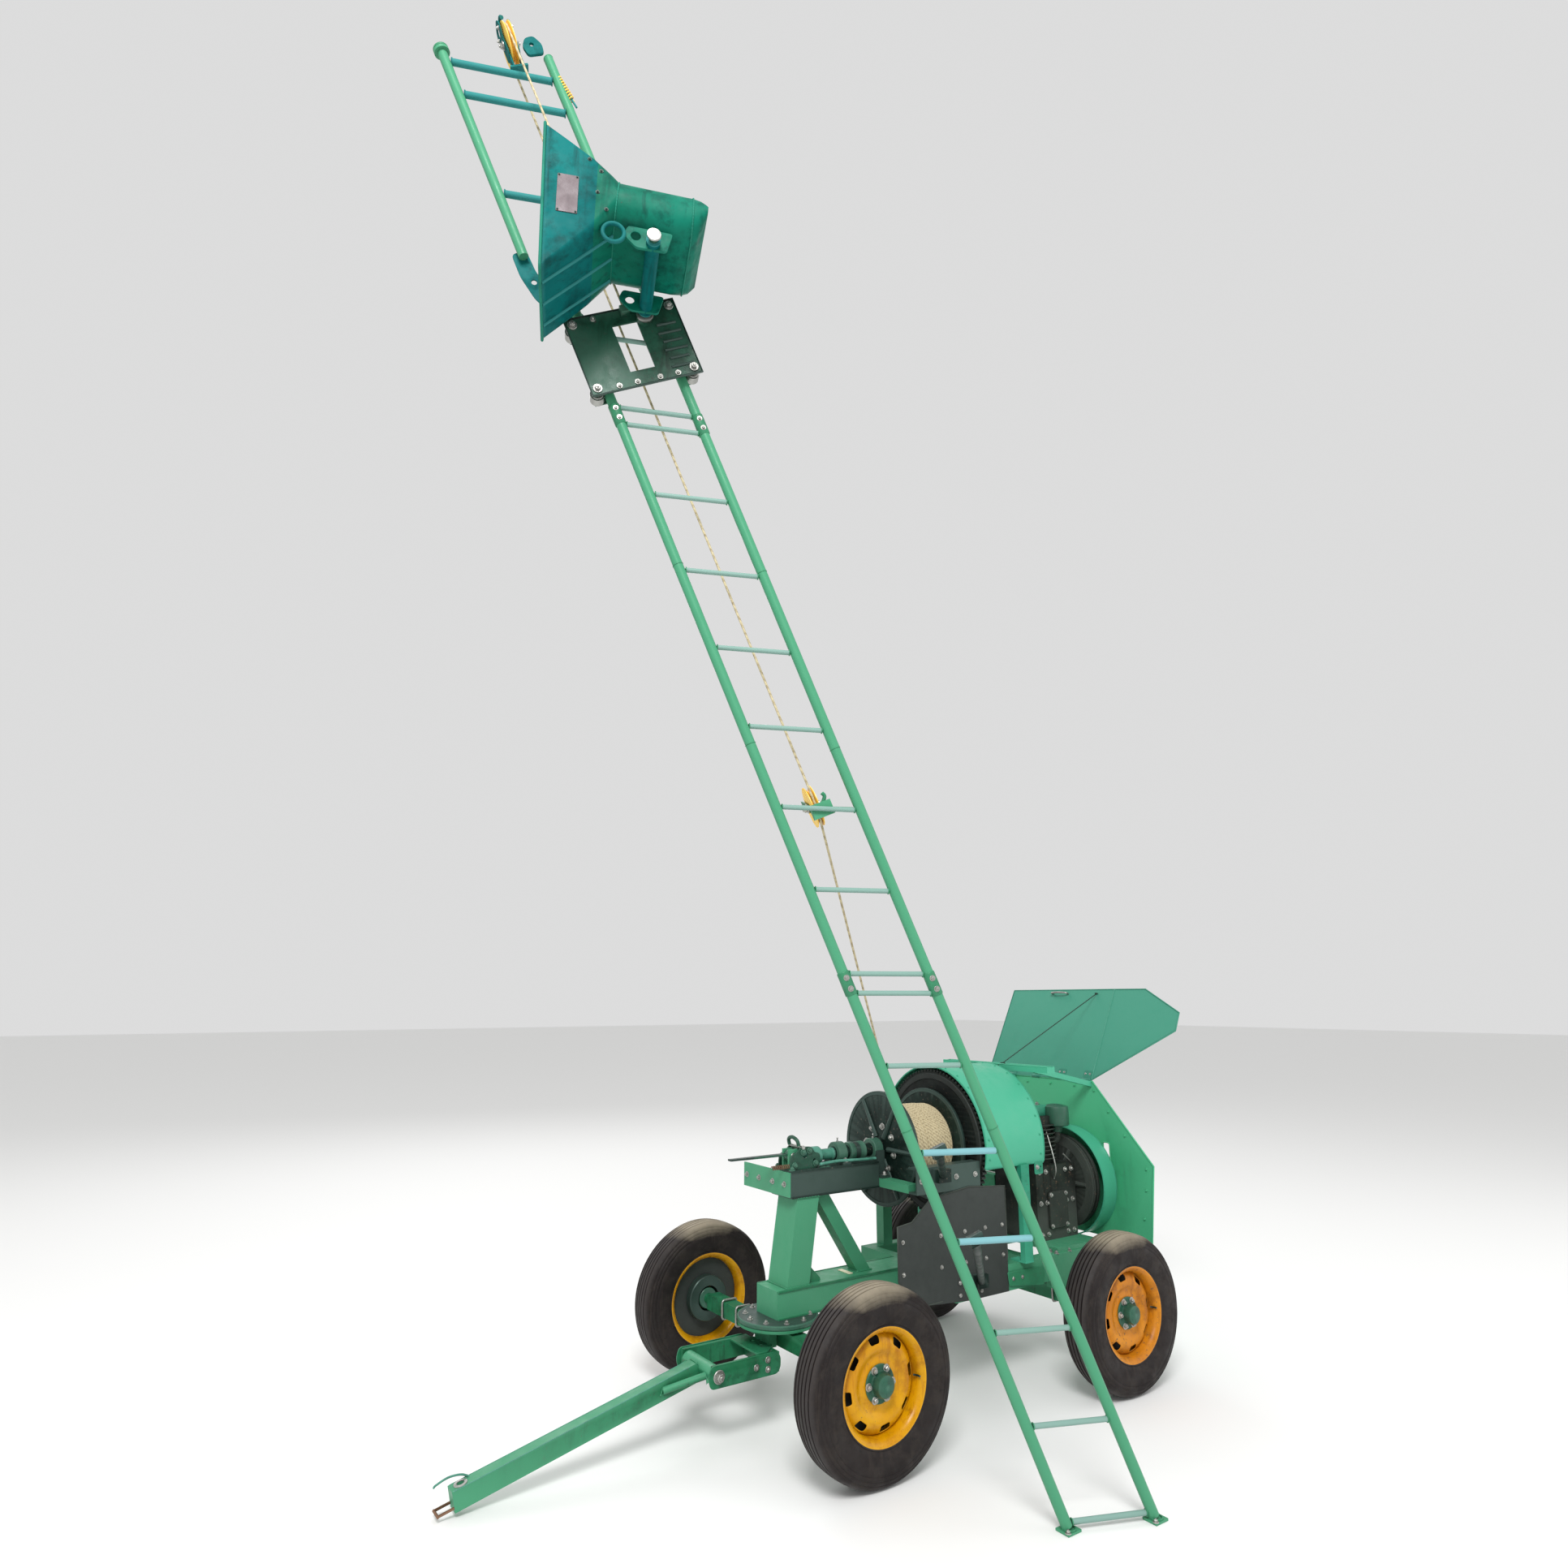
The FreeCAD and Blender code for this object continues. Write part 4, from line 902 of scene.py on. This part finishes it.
def build_clutch():
    """The cast clutch housing on the front beam, its yoke, shaft, coupling and long lever."""
    shaft = [(0.5, -2), (22, -2), (22, 50), (38, 54), (42, 60), (42, 96), (38, 102), (26, 106), (26, 172),
             (30, 176), (30, 186), (0.5, 186)]
    lathe("clutch_shaft", shaft, at(place(140, 0, DRUM_Z), X), "pale_green", "winch_drum", 40)
    fasteners("clutch_coupling_bolts",
              [(off_drum(192, 33, TAU * k / 4), -X, 11) for k in range(4)], "steel", "winch_drum")
    lathe("clutch_cone", [(32, -2), (44.5, -2), (47, 3), (47, 26), (36, 40), (36, 52), (46, 60), (46, 92),
                          (32, 92)], at(place(420, 0, DRUM_Z), X), "hub", "winch_drum", 48)
    side = round_outline([(-92, 0), (70, 0), (88, 18), (84, 62), (52, 70), (34, 96), (-24, 100), (-50, 76),
                          (-86, 60)], 12, 5)
    for number, y in enumerate((-52, 44)):
        plane = at(place(128, y + 8, 1074), -Y, X)
        holed_plate("clutch_cheek_%d" % number, side, [circle(16, 24, -2, 62), circle(9, 16, 52, 34)], 8,
                    plane, "hub", "chassis", 1.5)
    spots = []
    for x, z in ((62, 1092), (186, 1094), (112, 1150), (150, 1154)):
        spots += [(place(x, -53, z), -Y, 17), (place(x, 53, z), Y, 17)]
    for x, y in ((222, -58), (222, 58), (250, -58), (250, 58), (40, -62), (40, 62)):
        spots.append((place(x, y, 1074), Z, 18))
    fasteners("clutch_nuts", spots, "hub")
    yoke = smooth_path([place(96, -40, 1178), place(88, -34, 1204), place(84, 0, 1216), place(88, 34, 1204),
                        place(96, 40, 1178)], 8)
    bar("clutch_yoke", yoke, 9, "hub")
    bar("clutch_cross_pin", [place(110, -60, 1172), place(110, 60, 1172)], 9, "steel", "chassis", 16)
    rod_path = smooth_path([place(200, -70, 1090), place(300, -74, 1096), place(420, -78, 1092),
                            place(545, -72, 1088)])
    bar("clutch_rod", rod_path, 7, "pale_green", "chassis", 12)
    # The long flat lever: a tapered blade with a pointed end, and its eye.
    lever = place(70, 0, 1133.3)
    blade = round_outline([(0, -17), (-60, -17), (-250, -13), (-316, -3), (-330, 1), (-316, 5), (-250, 15),
                           (-60, 19), (0, 19), (18, 10), (18, -8)], 6, 3)
    holed_plate("clutch_blade", blade, [circle(5, 14, -90, 1), circle(5, 14, -130, 1)], 9,
                at(place(70, 0, 1134), Z, X), "hub", "clutch_lever", 1.2)
    lathe("clutch_lever_boss", [(10.2, -18), (24, -18), (26, -15), (26, 15), (24, 18), (10.2, 18)],
          at(lever, Y), "hub", "clutch_lever", 32)
    fasteners("clutch_lever_ends", [(lever + Y * s * 31 * MM, Y * s, 16) for s in (-1, 1)], "steel",
              "clutch_lever")
    spring = [place(-60 + 110 * k / 90, -40 + 9 * math.cos(TAU * k / 9), 1090 + 9 * math.sin(TAU * k / 9))
              for k in range(91)]
    bar("clutch_spring", spring, 1.8, "rust", "chassis", 7)


# ---------- chassis, turntable and drawbar ----------
def build_chassis():
    """Turntable trim, post welds, flanges, bolts, the lower guard's hem and the axle clamps."""
    fasteners("turntable_bolts", [(place(*p, 445.5), Z, 15) for p in circle(150, 10)])
    lathe("turntable_race", [(181, -2), (187, -2), (190, 2), (190, 12), (186, 16), (181, 16)],
          at(place(0, 0, 430), Z), "hub", "chassis", 96)
    lathe("turntable_wear_ring", [(150, -3), (184, -3), (187, 0), (187, 8), (184, 11), (150, 11)],
          at(place(0, 0, 415), Z), "green", "front_bogie", 96)
    seats = [looped([place(x0, -half, z), place(x1, -half, z), place(x1, half, z), place(x0, half, z)])
             for x0, x1, half, z in ((-2, 127, 82, 568), (58, 187, 82, 951), (448, 532, 37, 568))]
    weld_beads("post_welds", seats, "green", "chassis", 5)
    gusset = round_outline([(0, 0), (86, 0), (86, 12), (14, 84), (0, 84)], 4, 3)
    for number, y in enumerate((-50, 44)):
        extrusion("post_gusset_%d" % number, gusset, 0, 8, at(place(125, y + 8, 566.5), -Y, X), "green",
                  "chassis", 1)
    # Flanges that stand out past the spine and beam, top and bottom.
    strips = ((-56, 788, 92, 560), (-56, 788, 92, 444), (24, 558, 86, 1067), (24, 558, 86, 951))
    for number, (x0, x1, half, z) in enumerate(strips):
        look = "green" if number < 2 else "dark"
        edge = 85 if number < 2 else 80
        strip = slab(x1 - x0, half - edge, 2)
        bm = bmesh.new()
        for s in (-1, 1):
            spot = at(place((x0 + x1) / 2, s * (edge + half) / 2, z), Z)
            extrude_into(bm, strip, 0, 8, spot, 1)
        finish_piece(mesh_object("flange_strip_%d" % number, bm), look)
    extrusion("spine_tag", slab(26, 90, 3), 0, 3, at(place(400, 0, 566.5), Z), "cream", "chassis", 0.6)
    spots = []
    for s in (-1, 1):
        for x, z in ((812, 480), (812, 535), (905, 535), (955, 480), (1180, 500), (1245, 500)):
            spots.append((place(x, s * 360, z), Y * s, 17))
        for x in (590, 700, 820, 950):
            spots.append((place(x, s * 360, 1015), Y * s, 15))
        for x in (1530, 1630):
            for y in (310, 350):
                spots.append((place(x, s * y, 566.5), Z, 15))
    for x in (460, 700, 860, 1000, 1120):
        for z in (620, 760):
            spots.append((place(x, -364.5, z), -Y, 11))
    for y in (-40, 60, 180, 290):
        spots.append((place(11.5, y, 1013), -X, 15))
    fasteners("frame_bolts", spots)
    hem = [place(x, -363, z) for x, z in ((700, 470), (560, 470), (430, 590), (430, 830), (520, 840),
                                          (640, 930), (900, 960), (1150, 940), (1150, 600))]
    bar("lower_guard_hem", hem, 4, "cast", "chassis", 8)
    pan = round_outline([(0, 0), (250, -30), (262, 20), (256, 56), (-10, 66)], 10, 3)
    extrusion("drip_pan", pan, 0, 3, at(place(1150, -366, 470), -Y, X), "green", "chassis", 1)
    # Axle clamps on both axles.
    for body, x in (("front_bogie", 0), ("chassis", WHEELBASE)):
        for side in (-1, 1):
            for y in (300, 430):
                loop = round_outline([(-40, -42), (40, -42), (40, 42), (-40, 42)], 12, 4)
                plane = at(place(x, side * y, AXLE_Z), Y, X)
                bar("axle_clamp_%s_%d_%d" % (body, side, y), [plane @ Vector((a * MM, b * MM, 0)) for a,
                                                              b in loop], 6, "steel", body, 8, closed=True)


FORK_X, FORK_Z, CHEEK_Y = -400, 300, 140.3
HINGE, DRAWBAR_TILT = place(FORK_X, 0, FORK_Z), math.asin(245 / 1090)
BAR_WAY = Vector((-math.cos(DRAWBAR_TILT), 0, -math.sin(DRAWBAR_TILT)))
BAR_UP = Vector((-math.sin(DRAWBAR_TILT), 0, math.cos(DRAWBAR_TILT)))


def on_bar(along, y, up):
    return HINGE + (BAR_WAY * along + Y * y + BAR_UP * up) * MM


def build_drawbar():
    """Fork cheeks and top plate, the drawbar's struts and welds, and the wire hook."""
    spots = []
    for s in (-1, 1):
        spots.append((place(FORK_X, s * (CHEEK_Y + 6), FORK_Z), Y * s, 30))
        for x, z in ((-150, 282), (-150, 320), (-210, 300)):
            spots.append((place(x, s * (CHEEK_Y + 6), z), Y * s, 15))
    fasteners("fork_bolts", spots, "steel", "front_bogie")
    corners = [(-36, -44), (300, -44), (318, -20), (318, 20), (300, 44), (-36, 44), (-50, 0)]
    cheek = round_outline(corners, 16, 4)
    for s in (-1, 1):
        plane = at(place(FORK_X, s * CHEEK_Y, FORK_Z), Y * s, X)
        holed_plate("fork_cheek_%d" % (s + 1), cheek, [circle(17, 24)], 6, plane, "green", "front_bogie", 1.2)
    top = round_outline([(-60, -118), (0, -118), (60, -60), (60, 60), (0, 118), (-60, 118)], 14, 4)
    holed_plate("fork_top_plate", top, [circle(11, 20, 10, 34), circle(11, 20, 10, -34)], 8,
                at(place(-128, 0, 337), Z, X), "green", "front_bogie", 1.2)
    for number, s in enumerate((-1, 1)):
        path = [on_bar(26, s * 100, -24), on_bar(30, s * 84, 0), on_bar(210, s * 32, 2)]
        bar("drawbar_strut_%d" % number, path, 15, "green", "drawbar")
    weld_beads("drawbar_welds", [[on_bar(34, -34, 39), on_bar(34, 34, 39)],
                                 [on_bar(210, -33, 12), on_bar(226, -33, -12)],
                                 [on_bar(210, 33, 12), on_bar(226, 33, -12)]], "green", "drawbar", 4)
    lathe("tow_bore_ring", [(14.3, 0), (25, 0), (26, 1.5), (25, 4), (14.3, 4)],
          at(on_bar(1050, 0, 37), BAR_UP), "steel", "drawbar", 32)
    hook = smooth_path([on_bar(1012, 20, 38), on_bar(1040, 24, 56), on_bar(1084, 26, 66),
                        on_bar(1130, 24, 62), on_bar(1142, 20, 58)], 8)
    bar("drawbar_hook", hook, 4, "pale_green", "drawbar", 10)
    for s in (-1, 1):
        edge = [on_bar(70, s * 29, 37), on_bar(1085, s * 29, 37)]
        weld_beads("drawbar_edge_%d" % (s + 1), [edge], "pale_green", "drawbar", 2.2)


# ---------- engine and cover ----------
CRANK_Y, CRANK_Z = -60, 850
ENGINE_X, WALL_X = 1720, 2062


def build_engine():
    """Cylinder fins, covers, air cleaner, pipes, tank straps and the flywheel's rim."""
    lathe("cylinder_fins", [(98, 0)] + [p for i in range(9) for p in ((101, 22 * i + 6), (124, 22 * i + 7),
                                                                     (125, 22 * i + 9), (124, 22 * i + 11),
                                                                     (101, 22 * i + 12))] + [(98, 200)],
          at(place(ENGINE_X, CRANK_Y, 988), Z), "cast", "chassis", 64)
    cover = slab(170, 120, 26, 5)
    extrusion("rocker_cover", cover, 0, 62, at(place(ENGINE_X, CRANK_Y, 1212), Z), "band_green", "chassis", 8)
    spots = [(place(ENGINE_X + x, CRANK_Y + y, 1274), Z, 15) for x in (-50, 50) for y in (0, 0.001)]
    for x in (1590, 1640, 1800, 1850):
        for z in (620, 780, 940):
            spots.append((place(x, CRANK_Y - 150, z), -Y, 15))
    extrusion("crankcase_door", slab(150, 190, 22, 5), 0, 14, at(place(ENGINE_X, CRANK_Y - 150, 740), -Y, X),
              "cast", "chassis", 4)
    for x, z in ((1660, 660), (1780, 660), (1660, 820), (1780, 820)):
        spots.append((place(x, CRANK_Y - 164, z), -Y, 13))
    fasteners("engine_bolts", spots)
    lathe("air_cleaner", [(1, 0), (30, 0), (34, 6), (34, 26), (70, 34), (74, 40), (74, 130), (70, 138),
                          (40, 146), (16, 150), (1, 150)], at(place(1842, CRANK_Y - 70, 1130), Z), "hub",
          "chassis", 48)
    pipe = smooth_path([place(1842, CRANK_Y - 70, 1134), place(1842, CRANK_Y - 70, 1090),
                        place(1810, CRANK_Y - 60, 1080), place(1770, CRANK_Y - 40, 1080)], 6)
    bar("intake_pipe", pipe, 22, "cast", "chassis", 16)
    bar("exhaust_elbow", smooth_path([place(1650, CRANK_Y + 20, 1150), place(1610, CRANK_Y + 70, 1160),
                                      place(1588, CRANK_Y + 104, 1150)], 6), 20, "rust", "chassis", 16)
    for number, points in enumerate((
            [(1700, -215, 900), (1690, -240, 960), (1700, -200, 1080), (1720, -140, 1180), (1720, -90, 1230)],
            [(1780, 100, 700), (1800, 60, 830), (1850, -80, 900), (1870, -190, 960), (1800, -205, 1020)])):
        bar("engine_pipe_%d" % number, smooth_path([place(*p) for p in points], 8), 4.5, "steel", "chassis",
            10)
    lathe("fuel_cap", [(1, 0), (28, 0), (30, 4), (30, 16), (26, 20), (1, 20)], at(place(1640, 180, 890), Z),
          "steel", "chassis", 32)
    for number, x in enumerate((1600, 1740)):
        strap = round_outline([(-83, -152), (83, -152), (83, 152), (-83, 152)], 12, 3)
        plane = at(place(x, 180, 740), X, Y)
        bar("tank_strap_%d" % number, [plane @ Vector((a * MM, b * MM, 0)) for a, b in strap], 4, "steel",
            "chassis", 8, closed=True)
    # Flywheel: rim, web ribs and belt grooves.
    lathe("flywheel_rim", [(200, -4), (246, -4), (252, 0), (252, 8), (244, 14), (252, 20), (252, 34),
                           (244, 40), (252, 46), (252, 55), (246, 59), (200, 59)],
          at(place(1910, CRANK_Y, CRANK_Z), X), "cast", "flywheel", 96)
    bm = bmesh.new()
    for k in range(6):
        sweep_into(bm, [place(1908, *polar(r, TAU * k / 6, CRANK_Y, CRANK_Z)) for r in (48, 204)], [17, 11],
                   8)
    finish_piece(mesh_object("flywheel_ribs", bm), "cast", "flywheel")
    lathe("flywheel_boss", [(1, -8), (44, -8), (52, 0), (52, 60), (44, 70), (1, 70)],
          at(place(1910, CRANK_Y, CRANK_Z), X), "cast", "flywheel", 40)
    for number, x in enumerate((1951, 2058)):
        arc = [place(x, *polar(291, math.radians(22 + 236 * k / 60), CRANK_Y, CRANK_Z)) for k in range(61)]
        bar("flywheel_guard_edge_%d" % number, arc, 4, "band_green", "chassis", 8)


def build_cover():
    """Hems, hinges and rivets of the hood and rear wall, and the string that holds the hood open."""
    lid_at = place(WALL_X, 0, 1405.3)
    tilt = math.radians(28)
    lid_up = Vector((math.sin(tilt), 0, math.cos(tilt)))
    lid_out = Vector((-math.cos(tilt), 0, math.sin(tilt)))

    def on_lid(y, up, out=0.0):
        return lid_at + (Y * y + lid_up * up + lid_out * out) * MM

    rim = [(-225, 4), (585, 4), (585, 588), (-225, 590), (-440, 590), (-698, 440), (-700, 330)]
    bar("lid_hem", [on_lid(y, u, 0.5) for y, u in rim], 4.5, "lid_green", "hood", 8, closed=True)
    bar("lid_fold", [on_lid(-225, 4, 1.5), on_lid(-225, 588, 1.5)], 4, "lid_green", "hood", 8)
    for number, y in enumerate((-190, 0, 190, 380, 560)):
        lathe("lid_hinge_%d" % number, [(5.4, -30), (9, -30), (10, -28), (10, 28), (9, 30), (5.4, 30)],
              at(on_lid(y, 0), Y), "lid_green", "hood", 20)
        extrusion("lid_hinge_leaf_%d" % number, slab(56, 50, 6), 0, 3, at(on_lid(y, 32, 2), lid_out, Y),
                  "lid_green", "hood", 0.6)
        fasteners("lid_hinge_screws_%d" % number, [(on_lid(y + d, 36, 4.5), lid_out, 7) for d in (-16, 16)],
                  "steel", "hood")
    handle = smooth_path([on_lid(120, 560, 2), on_lid(126, 556, 26), on_lid(180, 556, 32),
                          on_lid(234, 556, 26), on_lid(240, 560, 2)], 6)
    bar("lid_handle", handle, 6, "steel", "hood", 12)
    wall = [(-364, 502), (-545, 500), (-600, 980), (-230, 1399), (590, 1399), (620, 980), (590, 500),
            (366, 502)]
    bar("wall_hem", [place(WALL_X, y, z) for y, z in wall], 5, "wall_green", "chassis", 8)
    slot = round_outline([(-324, 958), (-276, 958), (-276, 1072), (-324, 1072)], 16, 4)
    bar("wall_slot_rim", [place(WALL_X - 4, y, z) for y, z in slot], 4, "wall_green", "chassis", 8,
        closed=True)
    rivets = [(place(2059.5, y, z), -X, 9) for y, z in
              ((-500, 560), (-520, 700), (-545, 850), (-555, 960), (-430, 1120), (-330, 1240), (-240, 1350),
               (-100, 1370), (80, 1370), (260, 1370), (440, 1370))]
    fasteners("wall_rivets", rivets, "wall_green")
    roof_edge = [place(x, y, 1511) for x, y in ((1472, -408), (1472, 388), (1528, 388), (1528, -408))]
    bar("roof_bar_hem", roof_edge, 3.5, "band_green", "chassis", 8, closed=True)
    # The string that holds the lid open: laid strands between a knot on the lid and one on the roof bar.
    top, low = on_lid(-100, 560, 5), place(1500, -60, 1513.5)
    way = (low - top).normalized()
    side = way.cross(Z).normalized()
    other = way.cross(side)
    bm = bmesh.new()
    for strand in range(3):
        points = []
        for k in range(121):
            t, angle = k / 120, k * 0.55 + TAU * strand / 3
            points.append(top.lerp(low, t) + (side * math.cos(angle) + other * math.sin(angle)) * 1.5 * MM)
        sweep_into(bm, points, 1.7, 6)
    string = mesh_object("lid_string", bm)
    string.data.materials.append(MATERIALS["string"])
    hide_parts("hood_string")
    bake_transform(string)
    knot = ring_path(on_lid(-100, 560, 5), lid_up, 8, 16)
    bar("string_knot_lid", knot, 3, "string", "hood", 8, closed=True)
    loop = [place(1500 + 34 * x, -60, 1495 + 22 * z) for x, z in circle(1, 20)]
    bar("string_knot_roof", loop, 3, "string", "chassis", 8, closed=True)


# ---------- carriage ----------
CARRIAGE_LOW, CARRIAGE_TOP = 4700, 5000
ROLLER_OUT = 51.5


def build_carriage():
    """Roller cheeks, bolts, pressed ribs and the pivot's collars on the sliding frame."""
    spots = []
    for p, b in [(p, b) for p in (-ROLLER_OUT, GAUGE + ROLLER_OUT) for b in (CARRIAGE_LOW, CARRIAGE_TOP)]:
        spots.append((on_ladder(p, -61, b), -BEHIND, 22))
        lathe("roller_cheek_%d_%d" % (round(p), b), [(10.3, -22), (22, -22), (24, -20.6), (10.3, -20.6)],
              at(on_ladder(p, 0, b), BEHIND), "steel", "carriage", 32)
    for p, b in ((40, 4690), (120, 4690), (220, 4690), (300, 4690), (40, 5010), (300, 5010)):
        spots.append((on_ladder(p, -60.5, b), -BEHIND, 14))
    fasteners("carriage_bolts", spots, "steel", "carriage")
    # Pressed ribs on the carriage plate and a stepped edge strip.
    for number, b in enumerate((4720, 4760, 4800, 4840, 4880, 4920)):
        path = [on_ladder(GAUGE - 40 + 8 * (number % 2), -61, b),
                on_ladder(GAUGE + 62 - 9 * (number % 2), -61, b)]
        bar("carriage_rib_%d" % number, path, 6, "dark", "carriage", 8)
    rim = [on_ladder(p, -60, b) for p, b in ((-81, 4671), (404, 4671), (404, 5029), (-81, 5029))]
    bar("carriage_rim", rim, 5, "dark", "carriage", 8, closed=True)
    lathe("pivot_collar", [(16.3, 0), (34, 0), (36, 3), (36, 12), (32, 14), (16.3, 14)],
          at(on_ladder(PIVOT_P, -86, PIVOT_B), -BEHIND), "steel", "carriage", 32)
    lathe("pivot_end_cap", [(1, 0), (26, 0), (28, 3), (26, 8), (10, 10), (1, 10)],
          at(on_ladder(PIVOT_P, -532, PIVOT_B), -BEHIND), "steel", "carriage", 32)
    eye = ring_path(on_ladder(ROPE_P, -75, 5034), SQUARE, 12, 20)
    bar("rope_eye", eye, 4, "steel", "carriage", 8, closed=True)


def build_mid_sheave():
    """Bolts, pin and cross bar of the middle sheave's bracket."""
    centre, axis = place(-424.5, -888.3, 2650.8), Vector((-0.792, 0.479, -0.379)).normalized()
    spots = [(centre + axis * s * 0.0255, axis * s, 22) for s in (-1, 1)]
    hang = on_rung(ROPE_P, 24, 2830)
    for p, b in ((-30, -18), (30, -18), (-30, 18), (30, 18)):
        spots.append((hang + (SQUARE * p + UP_STILE * b) * MM, BEHIND, 12))
    fasteners("mid_bracket_bolts", spots)
    cross = [on_ladder(p, 12, 2834 - DROP * ROPE_P - 0.4 * (p - ROPE_P)) for p in (24, 100, 180, 260, 298)]
    bar("mid_cross_bar", cross, 9, "green", "chassis", 12)
    cap = smooth_path([hang + Z * 0.02, hang + Z * 0.055 + ACROSS * 0.012, hang + Z * 0.07], 4)
    bar("mid_pin", cap, 8, "green", "chassis", 12)


make_camera()
make_studio()
dress_frame()
for wheel_tag, (wheel_x, wheel_side) in WHEELS.items():
    build_wheel(wheel_tag, wheel_x, wheel_side)
build_bucket()
build_ladder()
build_guide_plate()
build_head()
build_winch()
build_clutch()
build_chassis()
build_drawbar()
build_engine()
build_cover()
build_carriage()
build_mid_sheave()
